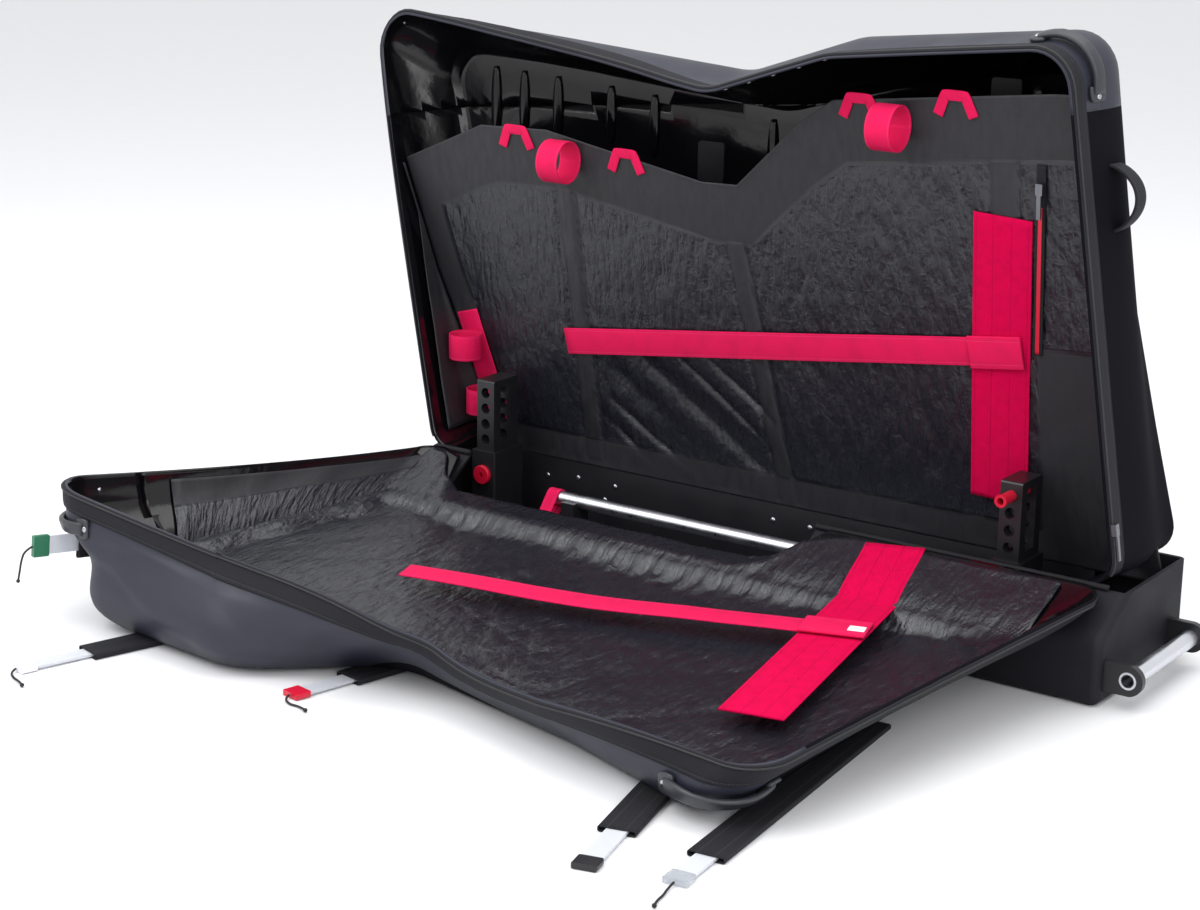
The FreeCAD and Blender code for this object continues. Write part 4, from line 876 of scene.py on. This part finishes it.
bodySheet, bodyMatte, bodyTopLeft = bodySheetGrid()
piece = addPiece("body_liner_sewn", bodySheet, gridFaces(*bodySheet.shape[:2], False), bodySheet[..., [0, 2]],
                 matte=bodyMatte)
piece = thicken(merged("body_liner_sewn", [piece, sideLining(bodyTopLeft)]), linerThick)
dress(piece, "base", "liner_fabric", ["body_liner"], "liner")

# straps on the liners: each lies on a surface over x and a second length, both given as shares
layer, strapThick = 2.5, 2.2
strapSteps, tabSteps, hoopSteps = 60, 40, 48


def linerFront(x, up):
    return np.stack([x, linerPlane(x, hinge + up), hinge + up], -1)


def ribbon(name, surface, start, end, width, thick, stand, waves=0.0, seed=1):
    # path + normal * (stand + waves * noise^2)
    f = np.linspace(0, 1, strapSteps)
    place = np.array(start)[None] * full * (1 - f[:, None]) + np.array(end)[None] * full * f[:, None]
    x, v = place.T
    path = surface(x, v)
    out = unit(np.cross(surface(x + 1, v) - path, surface(x, v + 1) - path))
    side = unit(np.cross(out, np.gradient(path, axis=0)))
    path = path + out * (stand + waves * noise(f * 5, f * 0 + seed, seed) ** 2)[:, None]
    return sweep(name, path, side, out, roundRect(width, thick, thick * 0.45))


def strap(body, slotName, nodeNames, look, name, *run):
    surface = linerFront if body == "base" else lidTop
    dress(ribbon(name, surface, *run), body, slotName, nodeNames, look)


def tabArch(name, xShare, upShare):
    # a strap bent over three runs: up the left slope, across the top, down the right slope
    corners = np.array([(-27, -18), (-15, 10), (15, 10), (27, -18)], float)
    f = np.linspace(0, 3, tabSteps)
    path = linerFront(xShare * length + np.interp(f, range(4), corners[:, 0]),
                      upShare * height + np.interp(f, range(4), corners[:, 1]))
    out = unit(np.array([0, -1.0, -0.19]))
    tangent = np.pad(np.gradient(path, axis=0), ((2, 2), (0, 0)), "edge")
    tangent = np.stack([np.convolve(tangent[:, k], np.ones(5) / 5, "valid") for k in range(3)], -1)
    return sweep(name, path + out * 1.4, unit(np.cross(out, tangent)), out, roundRect(15, strapThick, 1.0))


def hoop(name, centre, radius, axis, across, width):
    turn = np.linspace(0, 2 * math.pi, hoopSteps, endpoint=False)
    axis, across = np.array(axis, float), np.array(across, float)
    out = across * np.cos(turn)[:, None] + np.cross(axis, across) * np.sin(turn)[:, None]
    return sweep(name, np.array(centre) + out * radius, axis, unit(out),
                 roundRect(width, strapThick, strapThick * 0.45), closed=True)


strap("base", "red_webbing", ["body_frame_strap"], "red",
      "body_frame_strap_sewn", (-0.329, 0.243), (0.306, 0.388), 42, strapThick, layer + 1.4, 1.5)
strap("base", "red_webbing", [], "red", "body_strap_end", (0.245, 0.374), (0.312, 0.389), 48, 3.4, layer + 4.4)
strap("base", "hook_panel", ["body_hook_panel"], "hook",
      "body_hook_panel_sewn", (0.2755, 0.066), (0.29, 0.656), 88, strapThick, 1.4)
tabPlaces = [(-0.383, 0.69), (-0.217, 0.668), (0.114, 0.84), (0.2355, 0.865)]
tabs = [tabArch(f"anchor_tab_{k}", *place) for k, place in enumerate(tabPlaces)]
dress(merged("anchor_tabs_sewn", tabs), "base", "red_webbing", ["anchor_tabs"], "red")

loops = []
lean = math.hypot(1, (linerFoot - linerPlane(0, hinge + height)) / (hinge + height - boardTop))
for k, (xShare, upShare) in enumerate([(-0.3, 0.655), (0.164, 0.81)]):
    x, z = xShare * length, hinge + upShare * height
    loops.append(hoop(f"loop_{k}", (x, linerPlane(x, z) - 32.6 * lean, z), 30.9, (1, 0, 0), (0, 1, 0), 38))
dress(merged("hanging_loops_sewn", loops), "base", "red_webbing", ["hanging_loops"], "red")

bandStart, bandEnd = (-0.489, 0.2716), (-0.447, 0.0127)
retaining = [ribbon("retaining_band", linerFront, bandStart, bandEnd, 42, strapThick, 1.4, 1.0, 4)]
for k, share in enumerate((0.28, 0.76)):
    x, up = (np.array(bandStart) * (1 - share) + np.array(bandEnd) * share) * full
    spot = (x, linerPlane(x, hinge + up + 20) - 26 - layer - seat, hinge + up)
    retaining.append(hoop(f"cup_{k}", spot, 24.9, (0, 0, 1), (1, 0, 0), 40))
dress(merged("retaining_strap_sewn", retaining), "base", "red_webbing", ["retaining_strap"], "red")
strap("base", "rim_nylon", ["pocket_zip"], "black",
      "pocket_zip_tape", (0.338, 0.765), (0.328, 0.3876), 14, 1.6, 1.1)
strap("base", "red_webbing", [], "redPlastic", "pocket_zip_chain", (0.3358, 0.683), (0.328, 0.39), 6, 1.2, 2.3)
print("body liner ready")

# lid liner: a slack sheet inside the lid, folds only downwards
linerDrop, wallClear, hingeReach = 40.0, 7, -330
lidFolds = [(190, 7.0, 0.4), (95, 3.4, -0.8), (46, 1.2, 1.3), (22, 0.4, 0.1)]
fineFolds = [(60, 1.6, 0.5), (28, 0.9, -0.4)]
endFolds = [(70, 3.0, 0.4), (30, 1.2, -0.6)]
lidGrid = {"rows": 110, "columns": 210, "endRows": 30}
clothSettings = {"quality": 4, "mass": 0.15, "tension_stiffness": 20, "compression_stiffness": 20,
                 "bending_stiffness": 0.4, "vertex_group_mass": "Held"}
lidInner = lidHull(wall + seat)


def lidSheetZ(x, y):
    # y = (a + b up) cos - up sin, solved for up, with the sheet's shut depth a + b up
    b = (linerDrop + along(lidLinerShares, x)) / height
    up = (-linerDrop * math.cos(opening) - y) / (math.sin(opening) - b * math.cos(opening))
    return hinge + (-linerDrop + b * up) * math.sin(opening) + up * math.cos(opening)


lidEdgeAt = lidInner.crossing(lambda p: p[:, 2] - lidSheetZ(p[:, 0], p[:, 1]), 0, lidInner.params[-1])
lidEdge = lidInner.at(lidEdgeAt[None])[0]
# slices across the lid: each column runs from the hinge branch of the edge to its free branch
first, last = np.argmin(lidEdge[:, 0]), np.argmax(lidEdge[:, 0])
freeBranch = lidEdge[first:last + 1]
hingeBranch = np.concatenate([lidEdge[last:], lidEdge[:first + 1]])[::-1]
sliceX = np.linspace(lidEdge[first, 0] + 4, lidEdge[last, 0] - 4, lidGrid["columns"])
freeY = np.interp(sliceX, freeBranch[:, 0], freeBranch[:, 1])
hingeY = np.interp(sliceX, hingeBranch[:, 0], hingeBranch[:, 1])
# on the hinge side the sheet runs on over the dipped lip, and up the end panel further right
overLip = -66 + 50 * (smooth(60, 190, sliceX) + smooth(-490, -540, sliceX))
lipSpan = smooth(-578, -562, sliceX) * smooth(560, 500, sliceX)
hingeY = np.where(hingeY > -150, hingeY + (overLip - hingeY) * lipSpan, hingeY)
sheetX, downShare = np.meshgrid(sliceX, np.linspace(0, 1, lidGrid["rows"]))
sheetY = hingeY[None] * (1 - downShare) + freeY[None] * downShare
# the hinge wall under the sheet: its height over y, slice by slice
hingeColumns = np.flatnonzero((hingePlace[:, 1] > hingeSide) & (np.abs(hingePlace[:, 0]) < 580))
hingeColumns = hingeColumns[np.argsort(hingePlace[hingeColumns, 0])]
hingeWall = lidWall[:, hingeColumns]
wallY, wallZ = [np.stack([np.interp(sliceX, row[:, 0], row[:, k]) for row in hingeWall]) for k in (1, 2)]
under = np.stack([np.interp(down, across, up) for down, across, up in zip(sheetY.T, wallY.T, wallZ.T)], 1)
under = np.where((np.abs(sheetX) < 575) & (sheetY > hingeReach), under + wallClear, 0)
drapedZ = np.maximum(lidSheetZ(sheetX, sheetY), under)
# folds fade within 40 mm of the walls: across a slice, and towards the slanted end walls at the same y
leftWall, rightWall = [lidEdge[mask][np.argsort(lidEdge[mask, 1])]
                       for mask in (lidEdge[:, 0] < -500, lidEdge[:, 0] > 400)]
fromLeft = sheetX - np.interp(sheetY, leftWall[:, 1], leftWall[:, 0])
fromRight = np.interp(sheetY, rightWall[:, 1], rightWall[:, 0]) - sheetX
fromEnds = np.minimum(downShare, 1 - downShare) * (hingeY - freeY)[None]
nearest = np.minimum(fromEnds, np.minimum(fromLeft, fromRight))
edgeFade = smooth(2, 42, nearest) * smooth(0, 26, drapedZ - under)
lidFold = crinkle(sheetX, sheetY, 11, lidFolds) * edgeFade + crinkle(sheetX, sheetY, 12, fineFolds) - 2.5
lidSheet = np.stack([sheetX, sheetY, drapedZ - lidFold], -1)
lidMatte = smooth(0.9, 0.93, downShare) * smooth(-120, -60, sheetX)
piece = addPiece("lid_liner_sewn", lidSheet, gridFaces(*lidSheet.shape[:2], False)[:, ::-1], lidSheet[..., :2],
                 matte=lidMatte)


def endLining():
    # the liner's turned-up end: wall columns from the sheet's edge to 12 mm under the zip line
    top = lidInner.crossing(lambda p: lidRimTest(p, 12.0), 0, lidInner.params[-1])
    place = lidInner.at(top[None])[0]
    columns = np.flatnonzero((place[:, 0] < -560) & (place[:, 1] < -14) & (place[:, 1] > -463))
    breaks = np.flatnonzero(np.diff(columns) > 1)
    columns = np.roll(columns, -breaks[0] - 1) if len(breaks) else columns
    share = np.linspace(-0.4, 1, lidGrid["endRows"])[:, None]
    grid = lidInner.at(lidEdgeAt + (top - lidEdgeAt) * share)[:, columns]
    run, up = np.broadcast_arrays(runOf(grid[-1])[None], 120 * share)
    grid = grid + gridNormals(grid, False) * (2.2 + crinkle(run, up, 15, endFolds))[..., None]
    matte = np.broadcast_to(smooth(0.55, 0.62, share), up.shape)
    return addPiece("lid_liner_end", grid, gridFaces(*grid.shape[:2], False), np.stack([run, up], -1),
                    matte=matte)


def settle(piece, frames, slack, cap):
    # cloth that grows by the slack share while its edge is held; each move is capped, then lowered by the cap
    mesh = piece.data
    rest = np.empty(len(mesh.vertices) * 3, np.float32)
    mesh.vertices.foreach_get("co", rest)
    rest = rest.reshape(-1, 3)
    held = piece.vertex_groups.new(name="Held")
    held.add(np.flatnonzero(edgeFade.ravel() < 0.02).tolist(), 1.0, "REPLACE")
    cloth = piece.modifiers.new("Slack", "CLOTH")
    for key, value in clothSettings.items():
        setattr(cloth.settings, key, value)
    cloth.settings.shrink_min = -slack
    cloth.settings.shrink_max = -slack
    cloth.settings.effector_weights.gravity = 0.1
    cloth.collision_settings.use_collision = False
    scene.frame_start, scene.frame_end = 1, frames
    cloth.point_cache.frame_start, cloth.point_cache.frame_end = 1, frames
    for number in range(1, frames + 1):
        scene.frame_set(number)
    found = piece.evaluated_get(bpy.context.evaluated_depsgraph_get()).data
    moved = np.empty_like(rest).ravel()
    found.vertices.foreach_get("co", moved)
    piece.modifiers.remove(cloth)
    scene.frame_set(1)
    shift = np.clip(moved.reshape(-1, 3) - rest, -cap * milli, cap * milli) * edgeFade.reshape(-1, 1)
    shift[:, 2] -= cap * milli * edgeFade.ravel()
    mesh.vertices.foreach_set("co", (rest + shift).ravel())
    mesh.update()


settle(piece, frames=22, slack=0.05, cap=7.0)
piece = thicken(merged("lid_liner_sewn", [piece, endLining()]), linerThick)
dress(piece, "lid", "liner_fabric", ["lid_liner"], "liner")
restColumn = np.argmin(np.abs(sliceX - 320))


def lidTop(x, y):
    # the sheet's surface under the straps, with the hinge wall as found at x = 320
    wallUp = np.interp(y, wallY[:, restColumn], wallZ[:, restColumn]) + wallClear
    return np.stack([x, y, np.maximum(lidSheetZ(x, y), np.where(y > hingeReach, wallUp, 0))], -1)


strap("lid", "red_webbing", ["lid_frame_strap"], "red",
      "lid_frame_strap_sewn", (-0.261, -0.541), (0.262, -0.318), 42, strapThick, layer + 1.4, 2.0)
strap("lid", "red_webbing", [], "red", "lid_strap_end", (0.2, -0.345), (0.272, -0.314), 50, 4.0, layer + 5.0)
strap("lid", "red_webbing", [], "white", "lid_strap_tag", (0.252, -0.329), (0.27, -0.321), 16, 1.0, layer + 7.6)
strap("lid", "hook_panel", ["lid_hook_panel"], "hook",
      "lid_hook_panel_sewn", (0.209, -0.02), (0.272, -0.727), 88, strapThick, 1.4)
print("lid liner ready")

# small webbing pieces on the base
tieForm = {"rail": (75.0, 72.0), "railRadius": 12.4, "foot": (20.0, 13.5), "footRadius": 6.1, "width": 22}
handleForm = {"steps": 40, "reach": 1.45, "stand": 6, "bow": 36, "half": 43, "profile": roundRect(30, 4, 1.8)}
pipingForm = {"profile": ringProfile(4, 14), "spacing": 5, "end": 565.0, "ripple": 0.04}


def beltPath(big, bigRadius, small, smallRadius):
    # two arcs joined by their outer tangents, in the (y, z) plane
    bigSteps, smallSteps = 30, 16
    apart = np.array(small) - np.array(big)
    leanAngle = math.acos((bigRadius - smallRadius) / np.linalg.norm(apart))
    towards = math.atan2(apart[1], apart[0])
    angle = np.concatenate([np.linspace(towards + leanAngle, towards + 2 * math.pi - leanAngle, bigSteps),
                            np.linspace(towards - leanAngle, towards + leanAngle, smallSteps)])
    counts = [bigSteps, smallSteps]
    radius, centre = np.repeat([bigRadius, smallRadius], counts), np.repeat([big, small], counts, axis=0)
    out = np.stack([np.cos(angle), np.sin(angle)], -1)
    return centre + out * radius[:, None], out


for side, start in (("left", -400.0), ("right", 308.0)):
    flat, out = beltPath(tieForm["rail"], tieForm["railRadius"], tieForm["foot"], tieForm["footRadius"])
    path = np.column_stack([np.full(len(flat), start + tieForm["width"] / 2), flat])
    outward = np.column_stack([np.zeros(len(flat)), out])
    piece = sweep(f"{side}_tie_strap_sewn", path, [1, 0, 0], outward,
                  roundRect(tieForm["width"], strapThick, 1.0), closed=True)
    dress(piece, "base", "red_webbing", [f"{side}_tie_strap"], "redNarrow")

handles = []
for name, foot, head, share, handleDepth, sideways in (("right", rim[-1], rim[-2], 0.713, 70.0, 1),
                                                       ("left", rim[0], rim[1], 0.536 / 0.915, 124.0, -1)):
    # half hoop: the strap leaves the wall, bows out and comes back, flattened at its sewn ends
    count = handleForm["steps"]
    turn = np.linspace(-handleForm["reach"], handleForm["reach"], count)
    slant = unit(head - foot)
    outFlat = np.array([slant[1], -slant[0]]) * sideways
    bow = handleForm["stand"] + handleForm["bow"] * np.cos(turn) ** 1.4
    upward = handleForm["half"] * np.sin(turn)
    flat = foot + (head - foot) * share + slant * upward[:, None] + outFlat * bow[:, None]
    path = np.column_stack([flat[:, 0], np.full(count, handleDepth), hinge + flat[:, 1]])
    out = unit(np.cross([0, 1, 0], np.gradient(path, axis=0))) * sideways
    handles.append(sweep(f"handle_{name}", path, [0, 1, 0], out, handleForm["profile"]))
dress(merged("carry_handles_sewn", handles), "base", "black_webbing", ["carry_handles"], "black")

runs = []
for side, start, end in (("left", -pipingForm["end"], apronLeft), ("right", apronRight, pipingForm["end"])):
    count = int((end - start) / pipingForm["spacing"])
    path = np.column_stack([np.linspace(start, end, count), np.zeros(count), np.full(count, hinge)])
    ripple = 1 + pipingForm["ripple"] * noise(np.arange(count) * 0.35, np.zeros(count), 9)[:, None]
    runs.append(sweep(f"piping_{side}", path, ripple * [0, 1, 0], ripple * [0, 0, 1], pipingForm["profile"]))
dress(merged("hinge_piping_sewn", runs), "base", "black_webbing", ["hinge_piping"], "black")

# batten sleeves: flat fabric tubes under the lid and on its end, open at both ends
sleevePlaces = [(-0.487, 1.027, -16.7, 500), (-0.205, 0.83, -12.4, 370), (0.258, 1.095, 14, 520),
                (0.356, 1.09, 5.6, 470)]
sleeveForm = {"profile": roundRect(45, 4.8, 1.1), "stand": 4.0, "steps": 40, "thick": 1.5}
sideSleeve = {"height": 106.0, "back": 47, "inward": 6, "lean": -5, "length": 170, "steps": 30}


def sleeve(name, start, run, side, out, sleeveLength, steps):
    path = start + run * np.linspace(0, sleeveLength, steps)[:, None]
    return sweep(name, path, side, out, sleeveForm["profile"], capped=False)


sleeves = []
for k, (xShare, outShare, leanDegrees, sleeveLength) in enumerate(sleevePlaces):
    lean = math.radians(leanDegrees)
    start = np.array([xShare * length, -outShare * height, sleeveForm["stand"]])
    run, side = np.array([-math.sin(lean), math.cos(lean), 0]), [math.cos(lean), math.sin(lean), 0]
    sleeves.append(sleeve(f"sleeve_{k}", start, run, side, [0, 0, 1], sleeveLength, sleeveForm["steps"]))
sideRun = unit(np.append((lidRim[1] - lidRim[0]) * [1, -1], 0))
sideOut = np.array([sideRun[1], -sideRun[0], 0])
spot = np.array([lidRim[1, 0], -lidRim[1, 1], sideSleeve["height"]])
spot = spot - sideRun * sideSleeve["back"] - sideOut * sideSleeve["inward"] - sideOut * sleeveForm["stand"]
xAxis = np.cross(sideRun, sideOut)
lean = math.radians(sideSleeve["lean"])
localX = xAxis * math.cos(lean) - sideRun * math.sin(lean)
localY = -sideRun * math.cos(lean) - xAxis * math.sin(lean)
sleeves.append(sleeve("sleeve_side", spot, localY, localX, -sideOut, sideSleeve["length"], sideSleeve["steps"]))
piece = thicken(merged("batten_sleeves_sewn", sleeves), sleeveForm["thick"])
dress(piece, "lid", "black_webbing", ["batten_sleeves"], "black")
print("sleeves ready")

# corner handles: a bar that stands off the corner between two riveted feet
gripForm = {"barReach": 0.86, "barSteps": 48, "bar": roundRect(19, 8, 3.6), "low": 5, "rise": 5, "columns": 24,
            "footSteps": 10, "foot": roundRect(30, 5.6, 2.4), "footFrom": 0.72, "footStand": 3.4,
            "rivetStep": 6, "rivetStand": 6.0}


def ringOf(hull, test, low):
    # the hull's ring where the test crosses zero, and its normals
    at = hull.crossing(test, low, hull.params[-1])
    rows = hull.at(np.stack([at - 2, at, at + 2]))
    return rows[1], gridNormals(rows, True)[1]


def cornerHandle(name, hull, levelAxis, level, corner, half, body, node):
    # bar along the outline, standing low + rise cos(pi f / 2)^0.6 off the shell
    ring, normal = ringOf(hull, lambda p: p[:, levelAxis] - level, 0)
    reach, columns = gripForm["barReach"], gripForm["columns"]
    middle = corner * (arcSteps + runSteps) + arcSteps // 2
    index = np.arange(middle - columns, middle + columns + 1)
    run = runOf(ring[index])
    sign = np.sign(((ring[middle] - ring.mean(0)) * normal[middle]).sum())

    def taken(f):
        place = run[columns] + f * half
        spot, out = sampled(place, run, ring[index]), unit(sampled(place, run, sign * normal[index]))
        return spot, out, unit(np.cross(np.gradient(spot, axis=0), out))

    f = np.linspace(-reach, reach, gripForm["barSteps"])
    spot, out, side = taken(f)
    stand = gripForm["low"] + gripForm["rise"] * np.cos(f / reach * math.pi / 2) ** 0.6
    parts = [sweep(f"{name}_bar", spot + out * stand[:, None], side, out, gripForm["bar"])]
    rivetSpots, rivetOuts = [], []
    steps, rivet = gripForm["footSteps"], gripForm["rivetStep"]
    flare = (0.75 + 0.25 * np.sin(np.linspace(0.15, 1, steps) * math.pi) ** 0.5)[:, None]
    for end in (-1, 1):
        spot, out, side = taken(np.linspace(gripForm["footFrom"], 1.0, steps) * end)
        path = spot + out * gripForm["footStand"]
        parts.append(sweep(f"{name}_foot", path, side * flare, out, gripForm["foot"]))
        rivetSpots.append(spot[rivet] + out[rivet] * gripForm["rivetStand"])
        rivetOuts.append(out[rivet])
    dress(merged(name, parts), body, "grey_plastic", [node], "grey")
    dress(domes(f"{name}_rivets", rivetSpots, rivetOuts, 4.2, 2.0), body, "steel", [], "steel")


cornerHandle("lid_corner_handle_right", lidOuter, 2, 40.0, 5, 86.0, "lid", "lid_grip_right")
cornerHandle("lid_corner_handle_left", lidOuter, 2, 146.0, 1, 66.0, "lid", "lid_grip_left")
cornerHandle("body_corner_handle_right", bodyOuter, 1, 39.0, 5, 70.0, "base", "body_grip_right")
cornerHandle("body_corner_handle_left", bodyOuter, 1, 145.0, 1, 66.0, "base", "body_grip_left")

# upright ribs moulded into the inside of the shell's back
ribForm = {"steps": 24, "inward": 5.8, "topGap": 26, "profile": ringProfile(1, 14) * [9, 5]}
ribPlaces = [(-600, 590), (-545, 600), (-480, 610), (-380, 610), (-300, 600), (-90, 560), (120, 690),
             (330, 730)]
ribs = []
for k, (x, low) in enumerate(ribPlaces):
    count = ribForm["steps"]
    top = hinge + np.interp(x, back[1:6, 0], back[1:6, 1]) - ribForm["topGap"]
    f = np.linspace(0, 1, count)
    y = depth - ribForm["inward"]
    path = np.column_stack([np.full(count, float(x)), np.full(count, y), low + (top - low) * f])
    fade = np.sin(math.pi * np.clip(f, 0.02, 0.98))[:, None] ** 0.3
    ribs.append(sweep(f"rib_{k}", path, fade * [1, 0, 0], fade * [0, -1, 0], ribForm["profile"]))
dress(merged("shell_ribs", ribs), "base", "shell_plastic", [], "inside")

# rivets on the board, and round the inside of both halves
boardFront, rivetDrop = 149.8, 22.0
boardRivets = [(-460, 77), (-401, 83), (-330, 81), (-349, 56), (-41, 82), (23, 82), (180, 82), (300, 82)]
boardSpots = np.insert(np.array(boardRivets, float), 1, boardFront, axis=1)
dress(domes("board_rivets", boardSpots, [0, -1, 0], 4.5, 2.0), "base", "steel", [], "steel")


def shellRivets(name, inner, test, spots, low, body):
    ring, normal = ringOf(inner, lambda p: test(p, rivetDrop), low)
    dress(domes(name, ring[spots], normal[spots], 3.6, 1.6), body, "steel", [], "steel")


shellRivets("body_rivets", bodyHull(wall, footDrop), bodyRimTest, np.arange(44, 196, 8), 0.0, "base")
shellRivets("lid_rivets", lidHull(wall), lidRimTest, np.arange(20, 150, 9), lidInner.params[1], "lid")
print("rivets ready")

# floor, light and camera
bpy.ops.mesh.primitive_plane_add(size=40, location=(0, 0, -0.0005))
ground = bpy.context.object
ground.name = "floor"
ground.data.materials.append(moulded("paleFloor", (226, 226, 228), 0.6, 4.0, 0.0).done(0.01))


def areaLight(name, place, target, size, power):
    data = bpy.data.lights.new(name, "AREA")
    data.size = size
    data.energy = power
    lamp = bpy.data.objects.new(name, data)
    scene.collection.objects.link(lamp)
    lamp.location = place
    lamp.rotation_euler = (Vector(target) - Vector(place)).to_track_quat("-Z", "Y").to_euler()


scene.view_settings.view_transform = "Standard"
areaLight("keyLight", (-1.6, -2.6, 3.4), (0, -0.1, 0.3), 2.6, 100)
areaLight("fillLight", (3.2, -2.2, 2.4), (0, 0, 0.3), 2.4, 55)
areaLight("topLight", (0.4, 0.2, 3.6), (0, -0.2, 0.2), 3.2, 70)
world = bpy.data.worlds.new("studio")
scene.world = world
world.use_nodes = True
sky = world.node_tree.nodes["Background"].inputs
sky["Color"].default_value = (0.985, 0.99, 1.0, 1)
sky["Strength"].default_value = 1.0

# the camera fitted to the photo: turns in degrees, place in metres
yaw, pitch, roll = np.radians([34.82, 15.87, -0.88])
cameraPlace = np.array([1.830, -2.998, 1.218])
forward = np.array([-math.sin(yaw) * math.cos(pitch), math.cos(yaw) * math.cos(pitch), -math.sin(pitch)])
level = np.array([math.cos(yaw), math.sin(yaw), 0])
down = np.cross(forward, level)
rightward = level * math.cos(roll) + down * math.sin(roll)
down = down * math.cos(roll) - level * math.sin(roll)
cameraData = bpy.data.cameras.new("photoCamera")
cameraData.sensor_width = 36
cameraData.sensor_fit = "HORIZONTAL"
cameraData.lens = 76.32
cameraData.clip_end = 60
camera = bpy.data.objects.new("photoCamera", cameraData)
scene.collection.objects.link(camera)
turned = np.eye(4)
turned[:3] = np.column_stack([rightward, -down, -forward, cameraPlace])
camera.matrix_world = Matrix(turned.tolist())
scene.camera = camera
print("stage ready")
